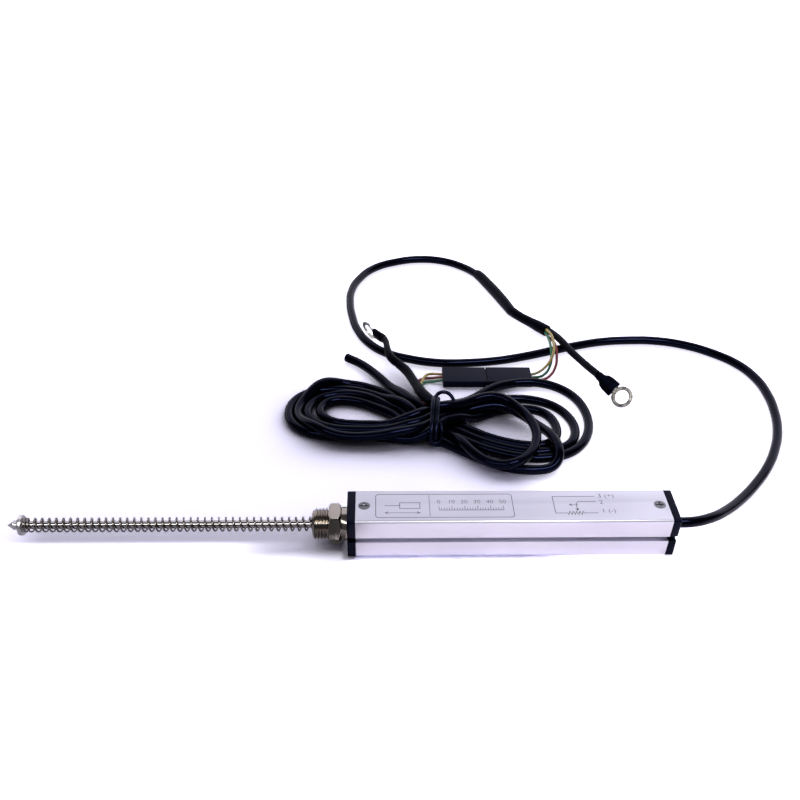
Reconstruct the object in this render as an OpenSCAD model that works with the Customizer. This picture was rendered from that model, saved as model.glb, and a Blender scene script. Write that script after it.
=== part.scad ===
// Linear displacement sensor with a spring-returned push rod.
// A square extruded housing holds a resistive element that a slider on the rod's inner end wipes.
// The cable leaves the rear cap, and a plug connection joins it to an extension cable tied in a hank.
// X runs along the rod towards the cable, Z is up, and the underside lies at Z = 0.

/* [Housing] */
// Width and height of the square extrusion
housing_w = 18; // [17:0.5:24]
// Length of the extrusion between its end caps
housing_length = 117; // [105:1:200]
// Radius of the extrusion's long edges
edge_r = 1; // [0.4:0.1:2]
// Wall above and below the inner cavity
housing_wall = 2.5; // [2:0.1:3]
// Width of the side groove at its mouth
groove_w = 2.2; // [1:0.1:3]
// How much wider the groove is at its bottom, each side
groove_flare = 0.4; // [0:0.1:0.8]
// Depth of the side groove
groove_depth = 2.3; // [1:0.1:2.4]
// Height of the groove's middle above the underside
groove_height = 8.8; // [8:0.1:10]
// Metal left between the groove's bottom and the cavity
groove_web = 1.4; // [1:0.1:1.6]
// Depth of the slots that hold the element board
board_slot_depth = 0.5; // [0.3:0.1:0.7]

/* [End caps] */
// Thickness of an end cap outside the extrusion
cap_t = 3.2; // [2:0.1:6]
// Radius of a cap's outer edges
cap_edge_r = 0.7; // [0.2:0.1:1.5]
// Length of the spigot that plugs into the cavity
spigot_length = 7; // [6:0.5:12]
// Distance from an end of the extrusion to its cap screw
screw_inset = 3.2; // [2.6:0.1:3.6]
// Thread diameter of a cap screw
screw_d = 2.5; // [2:0.1:3]
// Head diameter of a cap screw
screw_head_d = 4.4; // [3.6:0.1:4.8]
// Overall length of a cap screw
screw_length = 5; // [3.5:0.1:5.2]
// Width of the screw's cross recess
recess_w = 0.6; // [0.4:0.1:0.9]
// Depth of the screw's cross recess
recess_depth = 0.8; // [0.4:0.1:1]

/* [Mounting bush] */
// Outside diameter of the mounting thread
thread_d = 12; // [10:0.5:14]
// Length of the thread in front of the collar
thread_length = 10.8; // [8:0.1:20]
// Chamfer at the thread's front end
thread_chamfer = 0.7; // [0.3:0.1:1.2]
// Diameter of the collar that seats on the front cap
collar_d = 12.9; // [12:0.1:15]
// Thickness of the collar
collar_t = 2.2; // [1:0.1:4]
// Diameter of the shank through the front cap
shank_d = 7; // [6.8:0.1:7.4]
// Diameter of the pocket that takes the spring's end
pocket_d = 6.3; // [6.1:0.1:8]
// Depth of the spring pocket
pocket_depth = 5; // [2:0.5:7]
// Outside diameter of the plain bearing for the rod
bearing_d = 5; // [4.6:0.1:5.2]
// Length of the plain bearing
bearing_length = 9; // [6:0.5:11]
// Thickness of the retaining ring behind the front cap
clip_t = 0.6; // [0.4:0.1:1]
// Outside diameter of the retaining ring
clip_d = 9; // [8.6:0.1:9.6]
// Depth of the ring's groove in the shank
clip_groove = 0.35; // [0.2:0.05:0.5]

/* [Nut] */
// Width across flats
nut_af = 14; // [13.5:0.5:16]
// Thickness of the nut
nut_t = 4.5; // [3:0.5:7]
// Angle of one corner above the back side
nut_turn = 4; // [0:1:59]

/* [Rod and spring] */
// Diameter of the push rod
rod_d = 3; // [2.6:0.1:3.4]
// Distance from the bush's front end to the tip's point, rod fully out
rod_reach = 114; // [90:1:130]
// Travel of the rod
stroke = 50; // [10:1:52]
// Base diameter of the conical point
tip_d = 3.7; // [3:0.1:5]
// Length of the cone
tip_cone = 2.6; // [1.5:0.1:5]
// Length of the neck between cone and spring seat
tip_neck = 1.9; // [0.5:0.1:3]
// Diameter of the stud that holds the tip in the rod
stud_d = 1.6; // [1.2:0.1:1.8]
// Length of that stud
stud_length = 4; // [2:0.5:8]
// Diameter of the spring seat
seat_d = 7.7; // [6.2:0.1:9]
// Thickness of the spring seat
seat_t = 1.5; // [1:0.1:3]
// Wire diameter of the return spring
wire_d = 0.5; // [0.4:0.05:0.6]
// Outside diameter of the return spring
spring_d = 5.7; // [5:0.1:6]
// Turns of the spring, closed end turns included
spring_turns = 44; // [30:1:50]

/* [Slider and element] */
// Length of the slider block
slider_length = 12; // [9:0.5:14]
// Height of the slider block above the rod's axis
slider_top = 3.4; // [2.6:0.1:3.6]
// Depth that the rod enters the slider block
slider_socket = 9; // [6:0.5:9]
// Diameter of the pin through rod and slider
rod_pin_d = 1; // [0.8:0.1:1.2]
// Thickness of the contact fingers
finger_t = 0.2; // [0.1:0.05:0.3]
// Width of a contact finger
finger_w = 0.7; // [0.4:0.1:0.9]
// Thickness of the element board
board_t = 1.2; // [0.8:0.1:1.4]
// Height of the board above the cavity's floor
board_lift = 1.2; // [1:0.1:1.5]
// Distance from the front end of the extrusion to the board
board_front = 9.5; // [9:0.5:12]
// Distance from the rear end of the extrusion to the board
board_rear = 19; // [17:0.5:24]
// Width of a track
track_w = 2.6; // [2:0.1:3]
// Thickness of a track
track_t = 0.1; // [0.05:0.01:0.15]
// Distance of a track's middle from the board's middle
track_offset = 1.9; // [1.7:0.1:2.2]
// Diameter of a solder pin
solder_pin_d = 0.8; // [0.5:0.1:1]
// Distance between the solder pins
solder_pitch = 2.54; // [2:0.01:3]

/* [Cable and plug connection] */
// Diameter of both cables
cable_d = 4.2; // [4:0.1:4.4]
// Diameter of a bare core
core_d = 1.3; // [1:0.1:1.3]
// Diameter of the shrink-covered shield leads
lead_d = 3.5; // [3:0.1:3.6]
// Diameter of the shrink sleeve on the cable's end
cable_sleeve_d = 5.6; // [4.4:0.1:5.6]
// Diameter of the shrink sleeve over the split cores
split_sleeve_d = 5.6; // [4.4:0.1:6]
// Diameter of the shrink sleeve on the extension cable's end
joint_sleeve_d = 5; // [4.4:0.1:5]
// Outside diameter of a ring terminal
ring_d = 9.8; // [8.6:0.1:9.8]
// Hole diameter of a ring terminal
ring_hole_d = 6.4; // [4.3:0.1:6.6]
// Sheet thickness of a ring terminal
ring_t = 0.8; // [0.5:0.1:1]
// Barrel diameter of a ring terminal
barrel_d = 2.6; // [2:0.1:2.8]
// Length of a ring terminal's barrel
barrel_length = 4.5; // [3:0.5:6]
// Length of the plug's housing
plug_length = 21.4; // [18:0.1:21.4]
// Length of the socket's housing
socket_length = 20.6; // [18:0.1:20.6]
// Width of a connector housing
plug_w = 13; // [11:0.1:13]
// Height of a connector housing
plug_h = 3.4; // [3:0.1:4]
// Gap that shows between the mated housings
plug_gap = 0.5; // [0.2:0.1:1]
// Length of the plug's nose inside the socket
nose_length = 9; // [5:0.5:11]
// Wall of the socket round the plug's nose
socket_wall = 0.6; // [0.4:0.1:0.7]
// Distance between the connector's contacts
contact_pitch = 2.54; // [2:0.01:3]
// Diameter of a contact pin
contact_pin_d = 0.6; // [0.4:0.1:0.7]
// Height of the tied hank
hank_h = 12.6; // [8:0.1:14]
// Width of the hank at its tie
waist_w = 20; // [12:0.5:21]
// Width of the tie along the hank
tie_w = 5.5; // [3:0.5:8]
// Thickness of the tie
tie_t = 0.9; // [0.5:0.1:1.5]

/* [Fits] */
// Radial clearance of the rod in its bearing
running_gap = 0.03; // [0.02:0.01:0.08]
// Radial clearance of the nut on the thread
thread_gap = 0.05; // [0.02:0.01:0.1]
// Clearance between pieces that are pressed or screwed together
seat_gap = 0.02; // [0.01:0.01:0.05]
// Clearance round the sliding block and the board
slide_gap = 0.15; // [0.05:0.05:0.3]
// Clearance between pieces that face each other
face_gap = 0.1; // [0.05:0.05:0.2]

/* [Hidden] */

// Places along X
front_reach = cap_t + collar_t + thread_length + rod_reach;
overall_length = front_reach + housing_length + cap_t;
front_x = front_reach - overall_length / 2;
rear_x = front_x + housing_length;
rear_face_x = rear_x + cap_t;
cap_face_x = front_x - cap_t;
collar_face_x = cap_face_x - collar_t;
bush_face_x = collar_face_x - thread_length;
tip_x = bush_face_x - rod_reach;
rod_end_x = tip_x + tip_cone + tip_neck;
seat_rear_x = rod_end_x + seat_t;
spigot_end_x = front_x + spigot_length;
clip_x = spigot_end_x + face_gap;
clip_end_land = 0.6;
shank_end_x = clip_x + clip_t + clip_end_land;
stop_gap = 0.3;
slider_x = shank_end_x + stop_gap;
pocket_end_x = bush_face_x + pocket_depth;
bearing_x = shank_end_x - bearing_length;

// Heights and widths
axis_z = housing_w / 2;
cavity_w = housing_w - 2 * (groove_depth + groove_web);
cavity_h = housing_w - 2 * housing_wall;
cavity_r = 0.8;
board_z = housing_wall + board_lift;
board_top = board_z + board_t;
track_top = board_top + track_t;
contact_gap = 0.05;
slider_w = cavity_w - 2 * slide_gap;
slider_bottom = axis_z - rod_d / 2 - 1.2;
board_end_x = rear_x - board_rear;
board_x = front_x + board_front;
solder_x = board_end_x - 2.5;
cable_inside = 12;
fine = 96;
small = 48;

// Turned shapes: an outline of [distance along X, radius] spun round the rod's axis
module turned(outline, facets = fine) {
    translate([0, 0, axis_z])
        rotate([0, 90, 0])
            rotate_extrude($fn = facets)
                polygon([for (p = outline) [p.y, p.x]]);
}

// An outline in the YZ plane, extruded along X
module along_x(x, length) {
    translate([x, 0, 0])
        rotate([90, 0, 90])
            linear_extrude(length)
                children();
}

module rod_between(x0, x1, d, facets = small) {
    translate([x0, 0, axis_z])
        rotate([0, 90, 0])
            cylinder(d = d, h = x1 - x0, $fn = facets);
}

module round_rect(w, h, r) {
    square([w - 2 * r, h], center = true);
    square([w, h - 2 * r], center = true);
    for (sx = [-1, 1], sy = [-1, 1])
        translate([sx * (w / 2 - r), sy * (h / 2 - r)])
            circle(r = r, $fn = small);
}

// Tubes along a route
function unit(v) = v / norm(v);
function heading(p, i, first, last) =
    i == 0 && first != undef ? unit(first) :
    i == len(p) - 1 && last != undef ? unit(last) :
    unit(p[min(i + 1, len(p) - 1)] - p[max(i - 1, 0)]);
function side_of(t) = unit(cross([0, 0, 1], t));
function ring_point(c, t, a, w, h) =
    c + w / 2 * cos(a) * side_of(t) + h / 2 * sin(a) * cross(t, side_of(t));

// Widths and heights may be one number or one for each route point
module tube(route, w, h = undef, sides = 8, first = undef, last = undef) {
    n = len(route);
    widths = is_list(w) ? w : [for (i = [0:n - 1]) w];
    heights = h == undef ? widths : is_list(h) ? h : [for (i = [0:n - 1]) h];
    points = [
        for (i = [0:n - 1])
            for (k = [0:sides - 1])
                ring_point(route[i], heading(route, i, first, last), 360 / sides * k, widths[i], heights[i])
    ];
    walls = [
        for (i = [0:n - 2])
            for (k = [0:sides - 1])
                let (a = i * sides + k, b = i * sides + (k + 1) % sides)
                    for (f = [[a, b + sides, b], [a, a + sides, b + sides]]) f
    ];
    polyhedron(
        points = points,
        faces = concat(
            [[for (k = [0:sides - 1]) k]],
            walls,
            [[for (k = [sides - 1:-1:0]) (n - 1) * sides + k]]
        )
    );
}

// Housing
module groove_outline(extra = 0) {
    for (s = [-1, 1])
        translate([s * housing_w / 2, groove_height])
            polygon([
                [s * 1, -groove_w / 2 - extra],
                [0, -groove_w / 2 - extra],
                [-s * (groove_depth + extra), -groove_w / 2 - groove_flare - extra],
                [-s * (groove_depth + extra), groove_w / 2 + groove_flare + extra],
                [0, groove_w / 2 + extra],
                [s * 1, groove_w / 2 + extra]
            ]);
}

module housing_outline() {
    difference() {
        translate([0, axis_z]) round_rect(housing_w, housing_w, edge_r);
        groove_outline();
    }
}

module cavity_outline(gap = 0) {
    translate([0, axis_z]) round_rect(cavity_w - 2 * gap, cavity_h - 2 * gap, cavity_r);
}

module at_cap_screw(x) {
    translate([x, 0, housing_w]) children();
}

head_h = (screw_head_d - screw_d) / 2;

module screw_solid(gap = 0) {
    translate([0, 0, -head_h - gap])
        cylinder(d1 = screw_d + 2 * gap, d2 = screw_head_d + 4 * gap, h = head_h + gap, $fn = small);
    translate([0, 0, -screw_length - gap])
        cylinder(d = screw_d + 2 * gap, h = screw_length, $fn = small);
}

module cap_screw() {
    color("gainsboro")
        difference() {
            screw_solid();
            for (a = [0, 90])
                rotate([0, 0, a])
                    translate([-screw_head_d * 0.34, -recess_w / 2, -recess_depth])
                        cube([screw_head_d * 0.68, recess_w, recess_depth + 1]);
        }
}

module housing_tube() {
    color("lightgray")
        difference() {
            along_x(front_x, housing_length)
                difference() {
                    housing_outline();
                    cavity_outline();
                    translate([0, board_z + board_t / 2])
                        square([cavity_w + 2 * board_slot_depth, board_t + 2 * face_gap], center = true);
                }
            at_cap_screw(front_x + screw_inset) screw_solid(seat_gap);
            at_cap_screw(rear_x - screw_inset) screw_solid(seat_gap);
        }
}

// A cap's plate has round outer edges on all four sides; the flat side faces +X
module cap_plate() {
    intersection() {
        along_x(0, cap_t)
            difference() {
                translate([0, axis_z]) round_rect(housing_w, housing_w, edge_r);
                groove_outline(face_gap);
            }
        translate([cap_t, 0, 0])
            linear_extrude(housing_w)
                round_rect(2 * cap_t, housing_w, cap_edge_r);
        translate([cap_t, housing_w / 2, axis_z])
            rotate([90, 0, 0])
                linear_extrude(housing_w)
                    round_rect(2 * cap_t, housing_w, cap_edge_r);
    }
}

module spigot() {
    along_x(cap_t, spigot_length) cavity_outline(seat_gap);
}

// Cap with its outer face at X = 0, a central bore and a hole for its screw
module end_cap(bore_d, through) {
    difference() {
        union() {
            cap_plate();
            spigot();
        }
        rod_between(-1, through, bore_d);
        translate([cap_t + screw_inset, 0, housing_w - screw_length - seat_gap])
            cylinder(d = screw_d + 2 * seat_gap, h = screw_length + 1, $fn = small);
    }
}

module front_cap() {
    color("#1a1a24")
        translate([cap_face_x, 0, 0])
            end_cap(shank_d + 2 * seat_gap, cap_t + spigot_length + 1);
}

module rear_cap() {
    color("#1a1a24")
        translate([rear_face_x, 0, 0])
            mirror([1, 0, 0])
                end_cap(cable_d + 2 * face_gap, cap_t + spigot_length + 1);
}

module front_cap_screw() {
    at_cap_screw(front_x + screw_inset) cap_screw();
}

module rear_cap_screw() {
    at_cap_screw(rear_x - screw_inset) cap_screw();
}

// Mounting bush: thread, collar and shank in one turned piece
module threaded_bush() {
    thread_r = thread_d / 2;
    collar_r = collar_d / 2;
    collar_chamfer = 0.3;
    shank_r = shank_d / 2;
    groove_r = shank_r - clip_groove;
    pocket_r = pocket_d / 2;
    relief_r = rod_d / 2 + 0.3;
    seat_r = bearing_d / 2 + seat_gap;
    color("silver")
        turned([
            [bush_face_x, pocket_r + 0.3],
            [bush_face_x, thread_r - thread_chamfer],
            [bush_face_x + thread_chamfer, thread_r],
            [collar_face_x, thread_r],
            [collar_face_x, collar_r - collar_chamfer],
            [collar_face_x + collar_chamfer, collar_r],
            [cap_face_x, collar_r],
            [cap_face_x, shank_r],
            [clip_x, shank_r],
            [clip_x, groove_r],
            [clip_x + clip_t, groove_r],
            [clip_x + clip_t, shank_r],
            [shank_end_x, shank_r],
            [shank_end_x, seat_r],
            [bearing_x - seat_gap, seat_r],
            [bearing_x - seat_gap, relief_r],
            [pocket_end_x, relief_r],
            [pocket_end_x, pocket_r],
            [bush_face_x + 0.3, pocket_r]
        ]);
}

module guide_bearing() {
    bore_r = rod_d / 2 + running_gap;
    lead_in = 0.3;
    color("#b08d57")
        turned([
            [bearing_x, bore_r + lead_in],
            [bearing_x, bearing_d / 2],
            [shank_end_x, bearing_d / 2],
            [shank_end_x, bore_r + lead_in],
            [shank_end_x - lead_in, bore_r],
            [bearing_x + lead_in, bore_r]
        ]);
}

module bush_clip() {
    inner_d = shank_d - 2 * clip_groove + 2 * seat_gap;
    lug_r = 0.9;
    opening = 2.2;
    color("dimgray")
        along_x(clip_x + seat_gap, clip_t - 2 * seat_gap)
            translate([0, axis_z])
                difference() {
                    union() {
                        circle(d = clip_d, $fn = fine);
                        for (s = [-1, 1])
                            translate([s * (opening / 2 + lug_r), -clip_d / 2])
                                circle(r = lug_r, $fn = small);
                    }
                    circle(d = inner_d, $fn = fine);
                    translate([-opening / 2, -clip_d]) square([opening, clip_d]);
                    for (s = [-1, 1])
                        translate([s * (opening / 2 + lug_r), -clip_d / 2])
                            circle(r = 0.4, $fn = small);
                }
}

// Hexagon nut, chamfered on both faces
module mounting_nut() {
    x0 = collar_face_x - face_gap - nut_t;
    corner_r = nut_af / sqrt(3);
    flat_r = nut_af / 2;
    chamfer = (corner_r - flat_r) * 0.8;
    bore_r = thread_d / 2 + thread_gap;
    bore_chamfer = 0.4;
    color("silver")
        difference() {
            intersection() {
                translate([x0, 0, axis_z])
                    rotate([0, 90, 0])
                        rotate([0, 0, 90 + nut_turn])
                            cylinder(r = corner_r, h = nut_t, $fn = 6);
                turned([
                    [x0, 0],
                    [x0, flat_r - 0.1],
                    [x0 + chamfer, corner_r],
                    [x0 + nut_t - chamfer, corner_r],
                    [x0 + nut_t, flat_r - 0.1],
                    [x0 + nut_t, 0]
                ]);
            }
            turned([
                [x0 - 1, 0],
                [x0 - 1, bore_r + bore_chamfer + 1],
                [x0 + bore_chamfer, bore_r],
                [x0 + nut_t - bore_chamfer, bore_r],
                [x0 + nut_t + 1, bore_r + bore_chamfer + 1],
                [x0 + nut_t + 1, 0]
            ]);
        }
}

// Moving train
rod_pin_x = slider_x + slider_socket - 2.5;

module across_y(x, length, d) {
    translate([x, length / 2, axis_z])
        rotate([90, 0, 0])
            cylinder(d = d, h = length, $fn = small);
}

module push_rod() {
    rod_tail_x = slider_x + slider_socket - seat_gap;
    color("gainsboro")
        difference() {
            turned([
                [rod_end_x, 0],
                [rod_end_x, rod_d / 2],
                [rod_tail_x - 0.3, rod_d / 2],
                [rod_tail_x, rod_d / 2 - 0.3],
                [rod_tail_x, 0]
            ]);
            rod_between(rod_end_x - 1, rod_end_x + stud_length + seat_gap, stud_d + 2 * seat_gap);
            across_y(rod_pin_x, slider_w, rod_pin_d + 2 * seat_gap);
        }
}

// Conical point with its neck and stud
module contact_tip() {
    point_r = 0.15;
    neck_x = tip_x + tip_cone;
    color("gainsboro")
        turned([
            [tip_x, 0],
            [tip_x, point_r],
            [neck_x, tip_d / 2],
            [neck_x + 0.2, rod_d / 2],
            [rod_end_x - seat_gap, rod_d / 2],
            [rod_end_x - seat_gap, stud_d / 2],
            [rod_end_x + stud_length, stud_d / 2],
            [rod_end_x + stud_length, 0]
        ]);
}

module spring_seat() {
    rim = 0.4;
    color("gainsboro")
        turned([
            [rod_end_x, rod_d / 2 + seat_gap],
            [rod_end_x, seat_d / 2 - rim],
            [rod_end_x + rim * 0.3, seat_d / 2 - rim * 0.3],
            [rod_end_x + rim, seat_d / 2],
            [seat_rear_x - rim, seat_d / 2],
            [seat_rear_x - rim * 0.3, seat_d / 2 - rim * 0.3],
            [seat_rear_x, seat_d / 2 - rim],
            [seat_rear_x, rod_d / 2 + seat_gap]
        ]);
}

// Open-coiled spring with one closed turn at each end
spring_sides = 5;
spring_steps = 12;
spring_x0 = seat_rear_x + wire_d / 2 + contact_gap;
spring_x1 = pocket_end_x - wire_d / 2 - contact_gap;
closed_rise = wire_d * 1.1;
open_pitch = (spring_x1 - spring_x0 - 2 * closed_rise) / (spring_turns - 2);
function coil_x(t) =
    t < 1 ? spring_x0 + t * closed_rise :
    t > spring_turns - 1 ? spring_x1 - (spring_turns - t) * closed_rise :
    spring_x0 + closed_rise + (t - 1) * open_pitch;

module return_spring() {
    coil_r = (spring_d - wire_d) / 2;
    rings = spring_turns * spring_steps;
    points = [
        for (i = [0:rings])
            let (t = i / spring_steps, a = 360 * t)
                for (k = [0:spring_sides - 1])
                    let (b = 360 / spring_sides * k, r = coil_r + wire_d / 2 * cos(b))
                        [coil_x(t) + wire_d / 2 * sin(b), r * cos(a), axis_z + r * sin(a)]
    ];
    walls = [
        for (i = [0:rings - 1])
            for (k = [0:spring_sides - 1])
                let (a = i * spring_sides + k, b = i * spring_sides + (k + 1) % spring_sides)
                    for (f = [[a, b, b + spring_sides], [a, b + spring_sides, a + spring_sides]]) f
    ];
    color("gainsboro")
        polyhedron(
            points = points,
            faces = concat(
                [[for (k = [spring_sides - 1:-1:0]) k]],
                walls,
                [[for (k = [0:spring_sides - 1]) rings * spring_sides + k]]
            )
        );
}

// Slider block: guided by the cavity's walls, with a saddle cut on each side
module slider_block() {
    height = axis_z + slider_top - slider_bottom;
    saddle = 3;
    color("#e8e4d8")
        difference() {
            along_x(slider_x, slider_length)
                translate([0, slider_bottom + height / 2])
                    round_rect(slider_w, height, 0.6);
            rod_between(slider_x - 1, slider_x + slider_socket, rod_d + 2 * seat_gap);
            across_y(rod_pin_x, housing_w, rod_pin_d + 2 * seat_gap);
            for (s = [-1, 1])
                translate([slider_x + slider_length / 2 - saddle / 2, s * slider_w / 2 - 0.5, axis_z + 1])
                    cube([saddle, 1, slider_top]);
        }
}

module rod_pin() {
    color("dimgray") across_y(rod_pin_x, slider_w - 1, rod_pin_d);
}

// Contact fingers: a plate under the slider with two sprung fingers on each track
module wiper_brush() {
    plate_x = slider_x + 1.5;
    plate_length = 5;
    plate_w = 2 * (track_offset + track_w / 2);
    plate_z = slider_bottom - seat_gap;
    finger_x = plate_x + plate_length;
    finger_reach = 4;
    finger_z = track_top + contact_gap;
    color("#d9b75b")
        union() {
            translate([plate_x, -plate_w / 2, plate_z - finger_t])
                cube([plate_length, plate_w, finger_t]);
            for (s = [-1, 1], d = [-1, 1])
                translate([0, s * track_offset + d * track_w / 4 + finger_w / 2, 0])
                    rotate([90, 0, 0])
                        linear_extrude(finger_w)
                            polygon([
                                [finger_x - 0.5, plate_z],
                                [finger_x + finger_reach - 0.6, finger_z + finger_t],
                                [finger_x + finger_reach, finger_z + finger_t + 0.5],
                                [finger_x + finger_reach, finger_z + 0.3],
                                [finger_x + finger_reach - 0.6, finger_z],
                                [finger_x - 0.5, plate_z - finger_t]
                            ]);
        }
}

// Sensing element
module element_board() {
    color("#6b7a45")
        difference() {
            translate([board_x, -cavity_w / 2 - board_slot_depth + face_gap, board_z])
                cube([board_end_x - board_x, cavity_w + 2 * (board_slot_depth - face_gap), board_t]);
            for (k = [-1:1])
                translate([solder_x, k * solder_pitch, board_z - 1])
                    cylinder(d = solder_pin_d + 2 * seat_gap, h = board_t + 2, $fn = small);
        }
}

module track(side) {
    track_end = solder_x - solder_pin_d - 1;
    translate([board_x + 3, side * track_offset - track_w / 2, board_top])
        cube([track_end - board_x - 3, track_w, track_t]);
}

module resistive_track() {
    color("#2b2b2b") track(1);
}

module collector_track() {
    color("#c9c9c9") track(-1);
}

module solder_pins() {
    flange_t = 0.3;
    pin_below = 0.8;
    pin_above = 1.5;
    color("#d0d0c8")
        for (k = [-1:1])
            translate([solder_x, k * solder_pitch, 0]) {
                translate([0, 0, board_z - pin_below])
                    cylinder(d = solder_pin_d, h = board_t + pin_below + pin_above, $fn = small);
                translate([0, 0, board_top + face_gap])
                    cylinder(d = solder_pin_d + 0.8, h = flange_t, $fn = small);
            }
}

// Cores from the cable's inner end down to the pins
module inner_leads() {
    cable_end_x = rear_face_x - cable_inside;
    lead_x = solder_x + solder_pin_d / 2 + core_d / 2 + face_gap;
    color("#c0392b")
        for (k = [-1:1])
            tube(
                [
                    [lead_x, k * solder_pitch, board_top + core_d / 2 + 0.3],
                    [lead_x + 2, k * solder_pitch, board_top + core_d / 2 + 0.6],
                    [cable_end_x - 3, k * core_d * 1.1, axis_z - 1],
                    [cable_end_x - face_gap, k * core_d * 1.1, axis_z]
                ],
                core_d, first = [1, 0, 0], last = [1, 0, 0]
            );
}

// Crimped ring that keeps the cable from being pulled out
module cable_grip() {
    grip_x = rear_x - spigot_length - face_gap - 3;
    wall = 1.6;
    bore_r = cable_d / 2 + face_gap;
    color("dimgray")
        turned([
            [grip_x, bore_r],
            [grip_x, bore_r + wall - 0.4],
            [grip_x + 0.4, bore_r + wall],
            [grip_x + 2.6, bore_r + wall],
            [grip_x + 3, bore_r + wall - 0.4],
            [grip_x + 3, bore_r]
        ]);
}

// Cable and cores. The route points are measured from the floor under the cable's exit.
module at_exit() {
    translate([rear_face_x, 0, 0]) children();
}

cable_lay = cable_d / 2;
sensor_cable_route = [
    [-cable_inside, 0, axis_z], [0, 0, axis_z], [8, 0.4, 8.8], [16, 3.8, 7.6], [25, 10.8, 5.2],
    [34.5, 20, 3.2], [44, 30.5, 2.2], [53, 42, cable_lay], [60.5, 54.5, cable_lay],
    [66.5, 68.5, cable_lay], [70, 82.5, cable_lay], [71.5, 96.5, cable_lay], [70.5, 110, cable_lay],
    [65.5, 123, cable_lay], [56, 133.5, cable_lay], [43.5, 141.5, cable_lay], [30, 145.5, cable_lay],
    [16, 146, cable_lay], [2, 144.5, cable_lay], [-12, 140.5, cable_lay], [-25.5, 135.5, cable_lay],
    [-39, 130.5, cable_lay], [-53, 126.5, cable_lay], [-67.5, 124.5, cable_lay],
    [-82, 124.5, cable_lay], [-96, 128, cable_lay], [-108, 134, cable_lay], [-116.5, 143.5, cable_lay],
    [-122, 156, cable_lay], [-125, 170, cable_lay], [-126.5, 184.5, cable_lay],
    [-126, 199, cable_lay], [-122, 213, cable_lay], [-113.5, 226.5, cable_lay],
    [-101, 234.5, cable_lay], [-87, 238, cable_lay], [-73, 235.5, cable_lay],
    [-62, 227.5, 2.2], [-54.5, 217, 2.6]
];
cable_join = [0.5, -1, 0];
cable_sleeve_route = [[-54.4, 216.8, 2.8], [-50.6, 207, 2.8], [-46.6, 195, 3], [-43.2, 183.5, 3.2], [-40.6, 174, 3.4]];
sleeve_kink = [0.5, -1, 0];
split_sleeve_route = [[-40.5, 173.8, 3.4], [-36.2, 167.2, 3.4], [-32, 162.2, 3.4], [-28.4, 157.8, 3.4], [-24.7, 153.2, 3.4]];
split_mouth = [0.62, -0.78, 0];

core_a_green_route = [
    [-25.7, 151.8, 3.4], [-25.6, 143, 5.2], [-25.8, 135, 5.9], [-26.3, 127.5, 4.9], [-27.6, 121, 3.2],
    [-30.4, 116, 1.6], [-34, 113.2, 1.3], [-37.4, 112.3, 1.65], [-39.7, 112.3, 1.7]
];
core_a_yellow_route = [
    [-25.2, 152, 4.8], [-24.2, 143, 6.8], [-24.4, 135, 7.4], [-25.4, 127.5, 6.7], [-27.4, 122.4, 5.2],
    [-30.6, 118.4, 3.4], [-34.4, 115.8, 2.1], [-37.4, 114.85, 1.7], [-39.7, 114.85, 1.7]
];
core_a_red_route = [
    [-25.2, 152, 2], [-24, 144, 4], [-23.1, 135.5, 5.4], [-23.6, 127.5, 4.4], [-25, 120.5, 2.7],
    [-28.2, 114.8, 1.2], [-32.6, 111, 1.1], [-37.4, 109.75, 1.65], [-39.7, 109.75, 1.7]
];
core_end = [-1, 0, 0];

core_b_yellow_route = [
    [-79.1, 114.85, 1.7], [-82, 114.9, 1.7], [-85.2, 114.9, 1.9], [-87.7, 113.8, 2.3], [-89.4, 111.4, 2.5],
    [-90.6, 108.2, 2.4], [-91.6, 104.6, 2.2], [-91.6, 100.6, 2.1], [-90.5, 95.6, 2.1], [-89.3, 90, 2.1],
    [-88.5, 84.2, 2.1]
];
core_b_red_route = [
    [-79.1, 112.3, 1.7], [-82, 112.35, 1.6], [-85.4, 112.6, 1.1], [-88.6, 112.8, 0.75], [-91.3, 111.6, 0.7],
    [-93, 109, 0.7], [-93.4, 105, 0.7], [-92.6, 100.6, 0.7], [-91.3, 95.6, 0.7], [-90.1, 90, 0.7],
    [-89.3, 84.2, 0.7]
];
core_b_green_route = [
    [-79.1, 109.75, 1.7], [-82, 109.7, 1.6], [-84.8, 109.8, 1], [-87.4, 110, 0.7], [-89.6, 109.1, 0.7],
    [-90.9, 106.8, 0.7], [-91.3, 103.8, 0.7], [-90.9, 100.2, 0.7], [-89.6, 95.2, 0.7], [-88.5, 90, 0.7],
    [-87.7, 84.2, 0.7]
];
core_start = [-1, 0, 0];

shield_lead_a_route = [
    [-23.5, 153.1, 3.4], [-21.4, 145, 5.2], [-19.4, 137, 6.3], [-17, 128, 6.7],
    [-14.3, 119.5, 7.4], [-11.6, 111, 8.3], [-8.6, 102.7, 9.1]
];
shield_lead_b_route = [
    [-108.6, 141.3, 5.5], [-107.7, 138, 6], [-107.3, 133.5, 6.5], [-106.9, 129, 6.6],
    [-106, 124.8, 6.2], [-104.2, 121.4, 5.7], [-101.8, 118.8, 5.2]
];
joint_join = [0.6, -0.8, -0.2];
joint_sleeve_route = [
    [-101.7, 118.6, 5.1], [-98.3, 113.5, 4.8], [-95.6, 106, 4.9], [-93.4, 98.5, 5.6],
    [-91.6, 92, 6.4], [-89.2, 86.6, 7], [-86.8, 81.9, 7.4]
];
joint_end = [0, -1, 0];
cable_tail_route = [
    [-127, 129.5, cable_lay], [-120.5, 124, cable_lay], [-115.5, 118, 2.5], [-111, 111.5, 3.6],
    [-106.8, 104.6, 4.4], [-102.2, 95.8, 5], [-97.7, 88.3, 5.6]
];

module cable_piece(route, d, first = undef, last = undef) {
    at_exit() tube(route, d, first = first, last = last);
}

module sensor_cable() {
    color("#14141c") cable_piece(sensor_cable_route, cable_d, [1, 0, 0], cable_join);
}

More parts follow.
